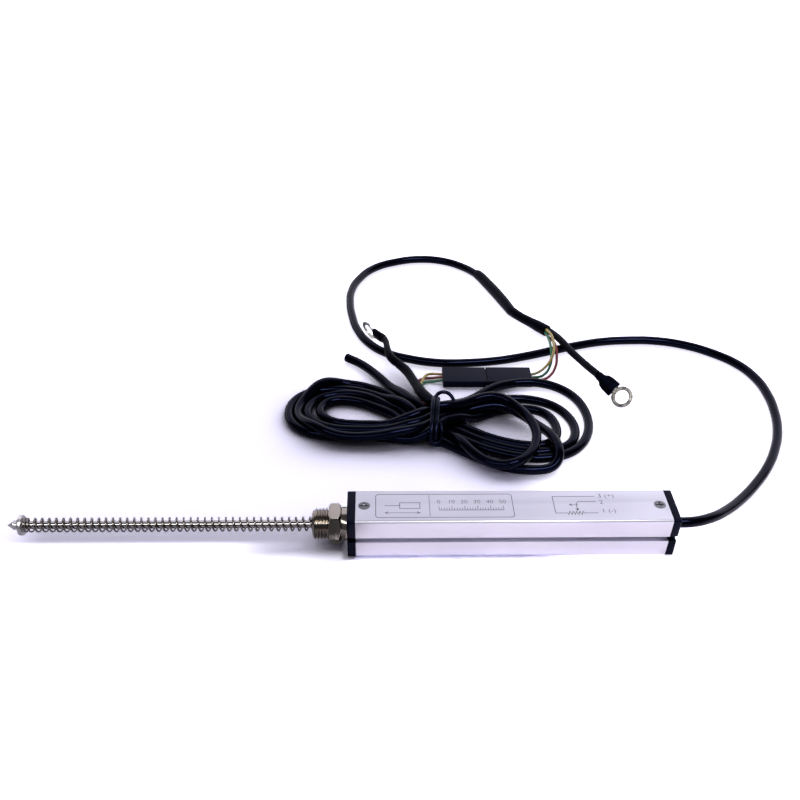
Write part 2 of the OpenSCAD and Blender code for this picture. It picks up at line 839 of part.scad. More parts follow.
module cable_sleeve() {
    color("#1c1c26") cable_piece(cable_sleeve_route, cable_sleeve_d, cable_join, sleeve_kink);
}

module split_sleeve() {
    narrow = split_sleeve_d * 0.9;
    widths = [narrow, narrow, narrow, split_sleeve_d, split_sleeve_d];
    color("#1c1c26") cable_piece(split_sleeve_route, widths, sleeve_kink, split_mouth);
}

module core_a_green() {
    color("#2f7d4f") cable_piece(core_a_green_route, core_d, split_mouth, core_end);
}

module core_a_yellow() {
    color("#d9c66a") cable_piece(core_a_yellow_route, core_d, split_mouth, core_end);
}

module core_a_red() {
    color("#8c2f33") cable_piece(core_a_red_route, core_d, split_mouth, core_end);
}

module core_b_green() {
    color("#2f7d4f") cable_piece(core_b_green_route, core_d, core_start);
}

module core_b_yellow() {
    color("#d9c66a") cable_piece(core_b_yellow_route, core_d, core_start);
}

module core_b_red() {
    color("#8c2f33") cable_piece(core_b_red_route, core_d, core_start);
}

// Ring terminals stand on their rims, with the lead's direction as their own +X
// Each place holds the ring's centre, the lead's heading, its rise and the ring's roll about the lead.
terminal_a = [[1.1, 91.5, 4.3], 131, 18, -48];
terminal_b = [[-116, 151.5, 4.85], -54, 3, -74];
sleeve_a_end = 15.3;
sleeve_b_end = 12.4;

module at_terminal(place) {
    at_exit()
        translate(place[0])
            rotate([0, 0, place[1]])
                rotate([0, -place[2], 0])
                    rotate([place[3], 0, 0])
                        children();
}

function terminal_axis(place) =
    [cos(place[2]) * cos(place[1]), cos(place[2]) * sin(place[1]), sin(place[2])];

module ring_terminal() {
    tongue_w = barrel_d + 1.4;
    tongue_length = 2.6;
    barrel_x = ring_d / 2 + 1;
    difference() {
        union() {
            translate([0, 0, -ring_t / 2])
                linear_extrude(ring_t)
                    union() {
                        circle(d = ring_d, $fn = fine);
                        translate([ring_d / 2 - 1, -tongue_w / 2])
                            square([tongue_length, tongue_w]);
                    }
            translate([barrel_x, 0, 0])
                rotate([0, 90, 0])
                    cylinder(d = barrel_d, h = barrel_length, $fn = small);
        }
        translate([0, 0, -ring_t])
            cylinder(d = ring_hole_d, h = 2 * ring_t, $fn = fine);
    }
}

// Room for the tongue and the barrel inside the shrink sleeve
module barrel_room() {
    gap = face_gap;
    tongue_w = barrel_d + 1.4 + 2 * gap;
    translate([0, -tongue_w / 2, -ring_t / 2 - gap])
        cube([ring_d / 2 + 1.6 + gap, tongue_w, ring_t + 2 * gap]);
    rotate([0, 90, 0])
        cylinder(d = barrel_d + 2 * gap, h = ring_d / 2 + 2 + barrel_length + gap, $fn = small);
}

sleeve_flare_w = 7.8;
sleeve_flare_h = 3.2;

module terminal_sleeve(length_end) {
    start = ring_d / 2 + face_gap;
    barrel_end = start + barrel_length + 1.5;
    difference() {
        tube(
            [[start, 0, 0], [start + barrel_length / 2, 0, 0], [barrel_end, 0, 0], [length_end, 0, 0]],
            [sleeve_flare_w, sleeve_flare_w * 0.93, sleeve_flare_w * 0.7, lead_d + 0.6],
            [sleeve_flare_h, sleeve_flare_h, sleeve_flare_h * 1.1, lead_d + 0.6],
            12
        );
        barrel_room();
    }
}

module ring_terminal_a() {
    color("#c8ccd0") at_terminal(terminal_a) ring_terminal();
}

module ring_terminal_b() {
    color("#c8ccd0") at_terminal(terminal_b) ring_terminal();
}

module terminal_sleeve_a() {
    color("#1c1c26") at_terminal(terminal_a) terminal_sleeve(sleeve_a_end);
}

module terminal_sleeve_b() {
    color("#1c1c26") at_terminal(terminal_b) terminal_sleeve(sleeve_b_end);
}

module shield_lead_a() {
    color("#1c1c26") cable_piece(shield_lead_a_route, lead_d, split_mouth, -terminal_axis(terminal_a));
}

module shield_lead_b() {
    color("#1c1c26") cable_piece(shield_lead_b_route, lead_d, terminal_axis(terminal_b), joint_join);
}

module joint_sleeve() {
    color("#1c1c26") cable_piece(joint_sleeve_route, joint_sleeve_d, joint_join, joint_end);
}

module cable_tail() {
    color("#14141c") cable_piece(cable_tail_route, cable_d);
}

// Plug connection: the plug's nose sits in the socket's mouth
plug_place = [-38.2, 112.3, 0];
plug_face = -plug_length;
contact_z = plug_h / 2;
contact_hole_d = 1.5;
wire_hole_depth = 2;
nose_w = plug_w - 2 * socket_wall - 2 * face_gap;
nose_h = plug_h - 2 * socket_wall - 2 * face_gap;

module at_plug() {
    at_exit() translate(plug_place) children();
}

module plug_outline(w, h, r) {
    translate([0, contact_z]) round_rect(w, h, r);
}

module contact_row(x0, x1, d) {
    for (k = [-1:1])
        translate([x0, k * contact_pitch, contact_z])
            rotate([0, 90, 0])
                cylinder(d = d, h = x1 - x0, $fn = 24);
}

wire_hole_d = core_d + 0.3;

module connector_plug() {
    sleeve_room = plug_face - nose_length;
    color("#23232f")
        at_plug()
            difference() {
                union() {
                    along_x(plug_face, plug_length) plug_outline(plug_w, plug_h, 0.5);
                    along_x(plug_face - nose_length, nose_length + 1) plug_outline(nose_w, nose_h, 0.3);
                }
                contact_row(sleeve_room - 1, plug_face + 3, contact_hole_d);
                contact_row(-wire_hole_depth, 1, wire_hole_d);
            }
}

module plug_contacts() {
    color("#c9a94a")
        at_plug()
            difference() {
                contact_row(plug_face - nose_length + 0.5, plug_face + 2.8, contact_hole_d - 2 * seat_gap);
                contact_row(plug_face - nose_length - 1, plug_face, contact_pin_d + 2 * running_gap);
            }
}

module connector_socket() {
    mouth = plug_face - plug_gap;
    mouth_depth = nose_length + 0.4;
    far_end = mouth - socket_length;
    color("#23232f")
        at_plug()
            difference() {
                along_x(far_end, socket_length) plug_outline(plug_w, plug_h, 0.5);
                along_x(mouth - mouth_depth, mouth_depth + 1)
                    plug_outline(nose_w + 2 * face_gap, nose_h + 2 * face_gap, 0.3);
                contact_row(mouth - mouth_depth - 5, mouth, contact_pin_d + 2 * seat_gap);
                contact_row(far_end - 1, far_end + wire_hole_depth, wire_hole_d);
            }
}

module socket_contacts() {
    mouth = plug_face - plug_gap;
    mouth_depth = nose_length + 0.4;
    color("#c9a94a")
        at_plug()
            contact_row(mouth - mouth_depth - 4.8, mouth - 2.5, contact_pin_d);
}

// Tied hank: two lobes of the winding and the waist inside the tie
left_lobe = [-130, 82.8, 24.8];
right_lobe = [-48.5, 73, 31.5];
waist_x = [-92, -78];
waist_y = 71.8;

module lobe(place, edge_x) {
    translate([place.x, place.y]) circle(r = place.z, $fn = fine);
    polygon([
        [place.x, place.y - place.z],
        [edge_x, waist_y - waist_w / 2],
        [edge_x, waist_y + waist_w / 2],
        [place.x, place.y + place.z]
    ]);
}

waist_inset = tie_t + face_gap;

module extension_hank() {
    color("#14141c")
        at_exit()
            union() {
                linear_extrude(hank_h) lobe(left_lobe, waist_x[0]);
                linear_extrude(hank_h) lobe(right_lobe, waist_x[1]);
                translate([waist_x[0] - 1, waist_y - waist_w / 2 + waist_inset, waist_inset])
                    cube([
                        waist_x[1] - waist_x[0] + 2,
                        waist_w - 2 * waist_inset,
                        hank_h - 2 * waist_inset
                    ]);
            }
}

module hank_tie() {
    middle = (waist_x[0] + waist_x[1]) / 2;
    color("#101016")
        at_exit()
            along_x(middle - tie_w / 2, tie_w)
                translate([waist_y, hank_h / 2])
                    difference() {
                        round_rect(waist_w, hank_h, 0.8);
                        square([waist_w - 2 * tie_t, hank_h - 2 * tie_t], center = true);
                    }
}

housing_tube();
front_cap();
rear_cap();
front_cap_screw();
rear_cap_screw();
threaded_bush();
guide_bearing();
bush_clip();
mounting_nut();
push_rod();
contact_tip();
spring_seat();
return_spring();
slider_block();
rod_pin();
wiper_brush();
element_board();
resistive_track();
collector_track();
solder_pins();
inner_leads();
cable_grip();
sensor_cable();
cable_sleeve();
split_sleeve();
core_a_green();
core_a_yellow();
core_a_red();
shield_lead_a();
terminal_sleeve_a();
ring_terminal_a();
connector_plug();
plug_contacts();
connector_socket();
socket_contacts();
core_b_green();
core_b_yellow();
core_b_red();
joint_sleeve();
shield_lead_b();
terminal_sleeve_b();
ring_terminal_b();
extension_hank();
hank_tie();
cable_tail();
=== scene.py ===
"""Looks of a linear displacement sensor with its plug-jointed cable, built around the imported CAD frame.

Sizes in the dataclasses are millimetres of the real object, and MM turns them into Blender's metres.
Cable points are counted from the place where the cable leaves the rear cap, as in the part's source.
"""

import logging
import math
from collections.abc import Sequence
from dataclasses import dataclass
from enum import Enum

import bmesh
import bpy
import numpy as np
from mathutils import Matrix, Vector

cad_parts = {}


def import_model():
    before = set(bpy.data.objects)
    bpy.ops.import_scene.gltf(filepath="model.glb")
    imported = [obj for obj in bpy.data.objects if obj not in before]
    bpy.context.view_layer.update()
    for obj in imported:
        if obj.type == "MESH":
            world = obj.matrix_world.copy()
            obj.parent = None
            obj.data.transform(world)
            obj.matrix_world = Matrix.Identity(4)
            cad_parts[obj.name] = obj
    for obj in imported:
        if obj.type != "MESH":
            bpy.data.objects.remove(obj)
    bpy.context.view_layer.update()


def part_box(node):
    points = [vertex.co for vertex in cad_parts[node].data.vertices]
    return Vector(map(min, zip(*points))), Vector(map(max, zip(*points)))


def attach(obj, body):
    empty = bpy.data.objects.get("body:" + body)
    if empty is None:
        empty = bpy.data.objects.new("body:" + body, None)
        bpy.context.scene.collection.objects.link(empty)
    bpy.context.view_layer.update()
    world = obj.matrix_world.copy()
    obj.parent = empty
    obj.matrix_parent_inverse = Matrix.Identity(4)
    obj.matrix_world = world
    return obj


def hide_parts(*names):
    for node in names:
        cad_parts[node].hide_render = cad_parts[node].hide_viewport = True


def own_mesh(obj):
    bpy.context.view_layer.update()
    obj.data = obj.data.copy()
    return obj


LOG = logging.getLogger("displacement_sensor")
MM = 0.001
WELD = 0.001 * MM
FLAT_WITHIN = math.radians(1)
SMOOTH_BELOW = math.radians(35)
SMOOTH_CORD_BELOW = math.radians(60)
SMOOTH_THREAD_BELOW = math.radians(25)

Pair = tuple[float, float]
Point = tuple[float, float, float]
Colour = tuple[float, float, float, float]
Settings = dict[str | int, object]
Edit = bmesh.types.BMesh
Piece = bpy.types.Object
Socket = bpy.types.NodeSocket


class Stiffness(Enum):
    """How a cord bends under its own weight."""

    LIMP = "limp"
    MEDIUM = "medium"


class Lay(Enum):
    """How a cord lies."""

    LOOSE = "loose"
    COILED = "coiled"


class FarEnd(Enum):
    """What a cord ends in."""

    CONNECTOR = "connector"
    FITTING = "fitting"
    BARE = "bare"
    OBJECT = "object"


# Colours and nodes


def linear(hex_colour: str) -> Colour:
    """Turns an sRGB hex colour into linear values.

    Args:
        hex_colour: six hex digits after a hash sign.

    Returns:
        Red, green, blue and an alpha of 1.
    """
    channels = [int(hex_colour[i:i + 2], 16) / 255 for i in (1, 3, 5)]
    straight = [c / 12.92 if c <= 0.04045 else ((c + 0.055) / 1.055) ** 2.4 for c in channels]
    return (straight[0], straight[1], straight[2], 1.0)


@dataclass
class Graph:
    """A node tree that grows node by node; its ramps are laid out in units of so many metres."""

    tree: bpy.types.NodeTree
    unit: float = 1.0

    def feed(self, node: bpy.types.Node, inputs: Settings) -> None:
        """Sets a node's properties and inputs.

        Args:
            node: the node.
            inputs: values by name; a name in lower case is a property, any other an input.
                A socket is linked.
        """
        for name, value in inputs.items():
            if isinstance(value, Socket):
                self.tree.links.new(value, node.inputs[name])
            elif isinstance(name, str) and name[0].islower():
                setattr(node, name, value)
            else:
                node.inputs[name].default_value = value

    def add(self, kind: str, inputs: Settings | None = None, output: str | int = 0) -> Socket:
        """Adds a node.

        Args:
            kind: the node's type, without the word that all shader nodes start with.
            inputs: its properties and inputs.
            output: the wanted output's name or number.

        Returns:
            That output.
        """
        node = self.tree.nodes.new(f"ShaderNode{kind}")
        self.feed(node, inputs or {})
        return node.outputs[output]

    def across(self, space: str) -> tuple[Socket, Socket]:
        """Gives the X and Y of a place in the object's or the world's own space."""
        split = self.add("SeparateXYZ", {0: self.add("TexCoord", output=space)}).node.outputs
        return split["X"], split["Y"]

    def math(self, operation: str, *values: Socket | float) -> Socket:
        """Works out a sum, product, power or the like."""
        return self.add("Math", {"operation": operation, **dict(enumerate(values))})

    def mix(self, share: Socket, first: Colour, second: Colour) -> Socket:
        """Blends two colours by a share."""
        return self.add("Mix", {"data_type": "RGBA", 0: share, 6: first, 7: second}, 2)

    def ramp(self, value: Socket, ends: Pair, levels: Pair = (0.0, 1.0), soft: bool = True) -> Socket:
        """Runs from one level to another.

        Args:
            value: what it runs along.
            ends: where it starts and ends, in the graph's unit.
            levels: its levels there.
            soft: whether it eases in and out.

        Returns:
            The level.
        """
        return self.add("MapRange", {
            "interpolation_type": "SMOOTHSTEP" if soft else "LINEAR", "Value": value,
            "From Min": ends[0] * self.unit, "From Max": ends[1] * self.unit,
            "To Min": levels[0], "To Max": levels[1],
        })


# Finishes


@dataclass(frozen=True)
class Finish:
    """A surface whose colour drifts towards a second tone in patches.

    Its grain has one size, or one along each axis; a long one is what drawing, extruding or turning
    leaves. A grain too fine for the render is drawn as coarse as it needs to show.
    """

    name: str
    colour: str
    tone: str
    roughness: float
    metallic: float = 0.0
    specular: float = 0.5
    sheen: str = "#ffffff"
    grain: float | Point = 0.4
    depth: float = 0.008
    spread: float = 0.06
    patch: float = 9.0

    def material(self) -> bpy.types.Material:
        """Makes the finish's material the first time, and finds it afterwards."""
        known = bpy.data.materials.get(self.name)
        if known is not None:
            return known
        made = bpy.data.materials.new(self.name)
        made.use_nodes = True
        graph = Graph(made.node_tree)
        shader = made.node_tree.nodes["Principled BSDF"]
        graph.feed(shader, {"Metallic": self.metallic})
        if not self.metallic:
            graph.feed(shader, {"Specular IOR Level": self.specular, "Specular Tint": linear(self.sheen)})
        graph.feed(shader, self.pattern(graph))
        return made

    def pattern(self, graph: Graph) -> Settings:
        """Works out the shader's colour, roughness and normal.

        Args:
            graph: the material's nodes.

        Returns:
            The shader's inputs.
        """
        place = graph.add("TexCoord", output="Object")
        sizes = self.grain if isinstance(self.grain, tuple) else [self.grain] * 3
        scaled = graph.add("Mapping", {"Scale": [1 / (MM * size) for size in sizes], "Vector": place})
        grain = graph.add("TexNoise", {"Scale": 1.0, "Detail": 3.0, "Vector": scaled})
        patch = graph.add("TexNoise", {"Scale": 1 / (MM * self.patch), "Detail": 2.0, "Vector": place})
        share = graph.ramp(patch, (0.3, 0.7), soft=False)
        rough = (self.roughness - self.spread, self.roughness + self.spread)
        return {
            "Base Color": graph.mix(share, linear(self.colour), linear(self.tone)),
            "Roughness": graph.ramp(grain, (0.25, 0.75), rough, soft=False),
            "Normal": graph.add("Bump", {"Distance": self.depth * MM, "Height": grain}),
        }

    def dress(self, piece: Piece) -> None:
        """Gives a piece this finish and no other."""
        piece.data.materials.clear()
        piece.data.materials.append(self.material())


@dataclass(frozen=True)
class WovenLaminate(Finish):
    """Glass-cloth board under lacquer: the weave shows as a fine square pattern."""

    thread: float = 0.6

    def pattern(self, graph: Graph) -> Settings:
        """Works out a square weave of the cloth's thread spacing."""
        weave = graph.add("TexChecker", {
            "Scale": 1 / (MM * self.thread), "Color1": linear(self.colour), "Color2": linear(self.tone),
            "Vector": graph.add("TexCoord", output="Object"),
        }).node.outputs
        return {
            "Base Color": weave["Color"],
            "Roughness": self.roughness,
            "Normal": graph.add("Bump", {"Distance": self.depth * MM, "Height": weave["Fac"]}),
        }


# The cool glint that the black plastics have in the photograph
BLUE_SHEEN = "#93a6ff"

# Extruded and clear anodised: an even, cool satin grey with faint die lines along X
ANODISED = Finish(
    "extruded_anodised_aluminium", "#dad9e4", "#d2d1de", 0.42, 1.0, grain=(45.0, 0.35, 0.35), depth=0.004,
    spread=0.05, patch=30.0,
)
# Marks burnt into the anodising: matt and grey, they take the shine away
ETCHED = Finish("laser_etched_marking", "#4f4d58", "#63616c", 0.7, 0.3, grain=0.25, spread=0.1)
# Moulded black polyamide: a fine eroded skin that breaks up the highlight
CAP_PLASTIC = Finish(
    "moulded_black_polyamide", "#050614", "#080919", 0.42, specular=0.12, sheen=BLUE_SHEEN, grain=0.35,
    depth=0.012, spread=0.08,
)
# Zinc plate on small screws: bright, slightly cloudy
ZINC = Finish("bright_zinc_plate", "#85858a", "#66666b", 0.3, 1.0, grain=0.3, depth=0.01)
# Nickel on turned brass: warm grey, with fine tool rings along X
NICKEL = Finish(
    "nickel_plated_brass", "#b5aea6", "#a69d94", 0.15, 1.0, grain=(0.22, 14.0, 14.0), depth=0.002,
    spread=0.05,
)
# Sintered bronze: dull golden brown with open pores
BRONZE = Finish("sintered_bronze", "#b08a55", "#94703f", 0.45, 1.0, grain=0.2, depth=0.01)
# Drawn spring wire: bright, with a faint brownish oil film in places
SPRING_WIRE = Finish(
    "drawn_spring_wire", "#8f8886", "#7c7472", 0.16, 1.0, grain=0.25, depth=0.002, spread=0.06,
)
# Ground and polished rod: near mirror, with grinding rings round it
GROUND_STEEL = Finish(
    "ground_polished_steel", "#c4c2c1", "#b4b1af", 0.12, 1.0, grain=(0.2, 9.0, 9.0), depth=0.0015,
    spread=0.04,
)
# Zinc plate on the spring seat and the contact tip: silky, and paler than the plating itself; its near-white
# colour is partly painted light, standing in for the bright reflections these pieces catch
ZINC_PAINTED_BRIGHT = Finish(
    "zinc_plate_painted_bright", "#f4f2f3", "#e6e3e5", 0.3, 1.0, grain=(0.2, 5.0, 5.0), depth=0.0015, spread=0.04,
)
# Natural acetal: slightly waxy off-white
ACETAL = Finish("natural_acetal", "#e6e1d3", "#dcd6c6", 0.38, grain=0.8, depth=0.006)
# Hard gold flash on contacts
GOLD = Finish("gold_flash", "#d9b35a", "#caa049", 0.22, 1.0, grain=0.3, depth=0.003)
# Green lacquered glass laminate
LAMINATE = WovenLaminate("glass_laminate", "#3c5a26", "#456631", 0.35, depth=0.004)
# Conductive plastic track: printed carbon, silky black
CARBON = Finish("printed_carbon_track", "#141414", "#1d1d1d", 0.5, grain=(2.0, 0.2, 0.2), depth=0.003)
# Printed silver track and solder
SILVER = Finish("printed_silver", "#c9c9c9", "#b5b5b5", 0.35, 1.0, grain=0.3, depth=0.006)
# Fork that grips the cable: plain tumbled steel
TUMBLED = Finish("tumbled_steel", "#8d8d92", "#77777c", 0.4, 1.0, grain=0.4, depth=0.01)
# Tinned copper of the ring terminals: bright with cloudy patches
TINNED = Finish("tinned_copper", "#8b8986", "#4a4846", 0.28, 1.0, grain=0.5, depth=0.006, patch=2.5)
# The same tin where handling has worn it dull and speckled
WORN_TIN = Finish("worn_tin", "#a09d98", "#34322f", 0.36, 1.0, grain=0.4, depth=0.03, patch=0.9)
# Extruded cable sheath: glossy black with a soft waviness from handling
SHEATH = Finish(
    "glossy_cable_sheath", "#04050f", "#070815", 0.14, specular=0.13, sheen=BLUE_SHEEN, grain=3.0,
    depth=0.03, spread=0.04, patch=25.0,
)
# Heat-shrink sleeve: dull black, puckered where it has shrunk
SHRINK = Finish(
    "heat_shrink_sleeve", "#07070f", "#0b0b14", 0.46, specular=0.06, sheen=BLUE_SHEEN, grain=1.1,
    depth=0.05, spread=0.08,
)
# Moulded connector bodies: black, slightly dusty
CONNECTOR = Finish(
    "moulded_black_connector", "#0a0e1e", "#101428", 0.45, specular=0.12, sheen=BLUE_SHEEN, grain=0.3,
    depth=0.01,
)
# Coated wire of the tie: satin black
TIE = Finish(
    "coated_tie_wire", "#080a14", "#0d0f1b", 0.3, specular=0.25, sheen=BLUE_SHEEN, grain=0.8, depth=0.02,
)
# Core insulation: thin extruded plastic, half gloss
CORE_GREEN = Finish("green_core_insulation", "#35b07a", "#2d9e6b", 0.34, grain=1.0, depth=0.01)
CORE_YELLOW = Finish("yellow_core_insulation", "#ffe88a", "#f8dc74", 0.34, grain=1.0, depth=0.01)
CORE_RED = Finish("red_core_insulation", "#c8404a", "#b4363f", 0.34, grain=1.0, depth=0.01)


# Mesh helpers


def finished(name: str, edit: Edit, smooth_below: float = SMOOTH_BELOW) -> Piece:
    """Turns an edit mesh into a linked object with clean normals and smooth faces between soft edges.

    Args:
        name: the piece's name.
        edit: the mesh, in metres and in place; it is freed.
        smooth_below: the angle under which an edge is shaded smooth.

    Returns:
        The new object, at the origin.
    """
    bmesh.ops.recalc_face_normals(edit, faces=edit.faces)
    mesh = bpy.data.meshes.new(name)
    edit.to_mesh(mesh)
    edit.free()
    mesh.shade_smooth()
    mesh.set_sharp_from_angle(angle=smooth_below)
    piece = bpy.data.objects.new(name, mesh)
    bpy.context.scene.collection.objects.link(piece)
    return piece


def break_edges(edit: Edit, width: float, segments: int = 2, sharper_than: float = 30.0) -> None:
    """Bevels the sharp edges of an edit mesh.

    Args:
        edit: the mesh to change.
        width: the bevel's width in millimetres.
        segments: the steps across the bevel.
        sharper_than: the angle in degrees from which an edge is bevelled.
    """
    limit = math.radians(sharper_than)
    sharp = [edge for edge in edit.edges if edge.is_manifold and edge.calc_face_angle(0.0) > limit]
    bmesh.ops.bevel(
        edit, geom=sharp, offset=width * MM, affect="EDGES", segments=segments, profile=0.5, material=-1,
        clamp_overlap=True,
    )


def refined_copy(node: str, name: str, edge: float, segments: int = 2) -> Piece:
    """Copies a CAD node, merges it, and gives it broken edges and smooth shading.

    Args:
        node: the CAD node's name.
        name: the new piece's name.
        edge: the width of the broken edges in millimetres.
        segments: the steps across them.

    Returns:
        The new object.
    """
    edit = bmesh.new()
    edit.from_mesh(bpy.data.objects[node].data)
    bmesh.ops.remove_doubles(edit, verts=edit.verts, dist=WELD)
    bmesh.ops.dissolve_limit(edit, angle_limit=FLAT_WITHIN, verts=edit.verts, edges=edit.edges)
    break_edges(edit, edge, segments)
    return finished(name, edit)


def lathe(name: str, outline: Sequence[Pair], height: float, steps: int = 64) -> Piece:
    """Spins an outline round the rod's axis.

    Args:
        name: the piece's name.
        outline: places along X and radii in millimetres, closed or with both ends on the axis.
        height: the axis's height above the ground in millimetres.
        steps: the faces round the axis.

    Returns:
        The new object.
    """
    edit = bmesh.new()
    corners = [edit.verts.new((x * MM, 0.0, (height + r) * MM)) for x, r in outline]
    edges = [edit.edges.new(pair) for pair in zip(corners, corners[1:])]
    if outline[0][1] > 0 and outline[-1][1] > 0:
        edges.append(edit.edges.new((corners[-1], corners[0])))
    bmesh.ops.spin(
        edit, geom=corners + edges, cent=(0.0, 0.0, height * MM), axis=(1.0, 0.0, 0.0), dvec=(0.0, 0.0, 0.0),
        angle=math.tau, steps=steps, use_merge=True,
    )
    bmesh.ops.remove_doubles(edit, verts=edit.verts, dist=WELD)
    return finished(name, edit)


def tube(
    name: str,
    route: Sequence[Point],
    diameter: float,
    swell: Sequence[float] | None = None,
    along: int = 8,
    around: int = 6,
) -> Piece:
    """Makes a round tube along a smooth line through the route's points.

    Args:
        name: the piece's name.
        route: points in millimetres in the part's frame.
        diameter: the tube's diameter in millimetres.
        swell: the diameter's factor at each point, 1 where left out.
        along: the steps between two points.
        around: the bevel's resolution; the tube has four faces more than twice this number round it.

    Returns:
        A curve object of one open spline.
    """
    curve = bpy.data.curves.new(name, "CURVE")
    curve.dimensions = "3D"
    curve.bevel_depth = diameter / 2 * MM
    curve.bevel_resolution = around
    curve.resolution_u = along
    curve.use_fill_caps = True
    spline = curve.splines.new("BEZIER")
    spline.bezier_points.add(len(route) - 1)
    for knot, point, factor in zip(spline.bezier_points, route, swell or [1.0] * len(route)):
        knot.co = Vector(point) * MM
        knot.handle_left_type = knot.handle_right_type = "AUTO"
        knot.radius = factor
    piece = bpy.data.objects.new(name, curve)
    bpy.context.scene.collection.objects.link(piece)
    return piece


def as_mesh(pieces: Sequence[Piece], name: str) -> Piece:
    """Turns curves into one mesh piece.

    Args:
        pieces: the curve objects, which are removed.
        name: the mesh piece's name.

    Returns:
        The new object.
    """
    edit = bmesh.new()
    graph = bpy.context.evaluated_depsgraph_get()
    for piece in pieces:
        shape = bpy.data.meshes.new_from_object(piece.evaluated_get(graph))
        edit.from_mesh(shape)
        bpy.data.meshes.remove(shape)
        bpy.data.objects.remove(piece)
    bmesh.ops.remove_doubles(edit, verts=edit.verts, dist=WELD)
    return finished(name, edit, SMOOTH_CORD_BELOW)


def shifted(route: Sequence[Point], x: float) -> list[Point]:
    """Moves a route counted from the cable's exit into the part's frame."""
    return [(point[0] + x, point[1], point[2]) for point in route]


# Sub-assemblies


@dataclass(frozen=True)
class Datum:
    """Places that the CAD frame gives, in millimetres."""

    tip_x: float
    bush_face_x: float
    exit_x: float
    axis_z: float
    top_z: float

    @classmethod
    def from_frame(cls) -> "Datum":
        """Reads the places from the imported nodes' boxes."""
        top_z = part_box("housing_tube")[1].z / MM
        return cls(
            tip_x=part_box("contact_tip")[0].x / MM,
            bush_face_x=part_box("threaded_bush")[0].x / MM,
            exit_x=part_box("rear_cap")[1].x / MM,
            axis_z=top_z / 2,
            top_z=top_z,
        )


@dataclass
class SubAssembly:
    """Pieces that ride on one CAD body."""

    datum: Datum
    body: str = "housing"

    def fit(self, piece: Piece, finish: Finish, slot: str, *nodes: str) -> Piece:
        """Dresses a new piece and lets it ride in place of CAD nodes.

        Args:
            piece: the new piece, in place.
            finish: its surface.
            slot: the record's material slot; not used.
            nodes: the CAD nodes that it stands for.

        Returns:
            The same piece.
        """
        finish.dress(piece)
        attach(piece, self.body)
        if nodes:
            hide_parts(*nodes)
        LOG.info("%s: %s in %s", type(self).__name__, piece.name, finish.name)
        return piece

    def keep(self, node: str, finish: Finish) -> None:
        """Leaves a CAD node showing and gives it a finish."""
        finish.dress(bpy.data.objects[node])
        LOG.info("%s: %s kept in %s", type(self).__name__, node, finish.name)


@dataclass
class Housing(SubAssembly):
    """Extruded tube, and its end caps with their screws."""

    tube_edge: float = 0.12
    cap_edge: float = 0.25
    screw_edge: float = 0.08

    def build(self) -> None:
        """Makes the tube, the caps and the screws."""
        tube_piece = refined_copy("housing_tube", "extruded_tube", self.tube_edge)
        self.fit(tube_piece, ANODISED, "anodised_aluminium", "housing_tube")
        for end in ("front", "rear"):
            cap = refined_copy(f"{end}_cap", f"{end}_end_cap", self.cap_edge, 3)
            self.fit(cap, CAP_PLASTIC, "black_cap_plastic", f"{end}_cap")
            screw = refined_copy(f"{end}_cap_screw", f"{end}_countersunk_screw", self.screw_edge)
            self.fit(screw, ZINC, "plated_screw", f"{end}_cap_screw")


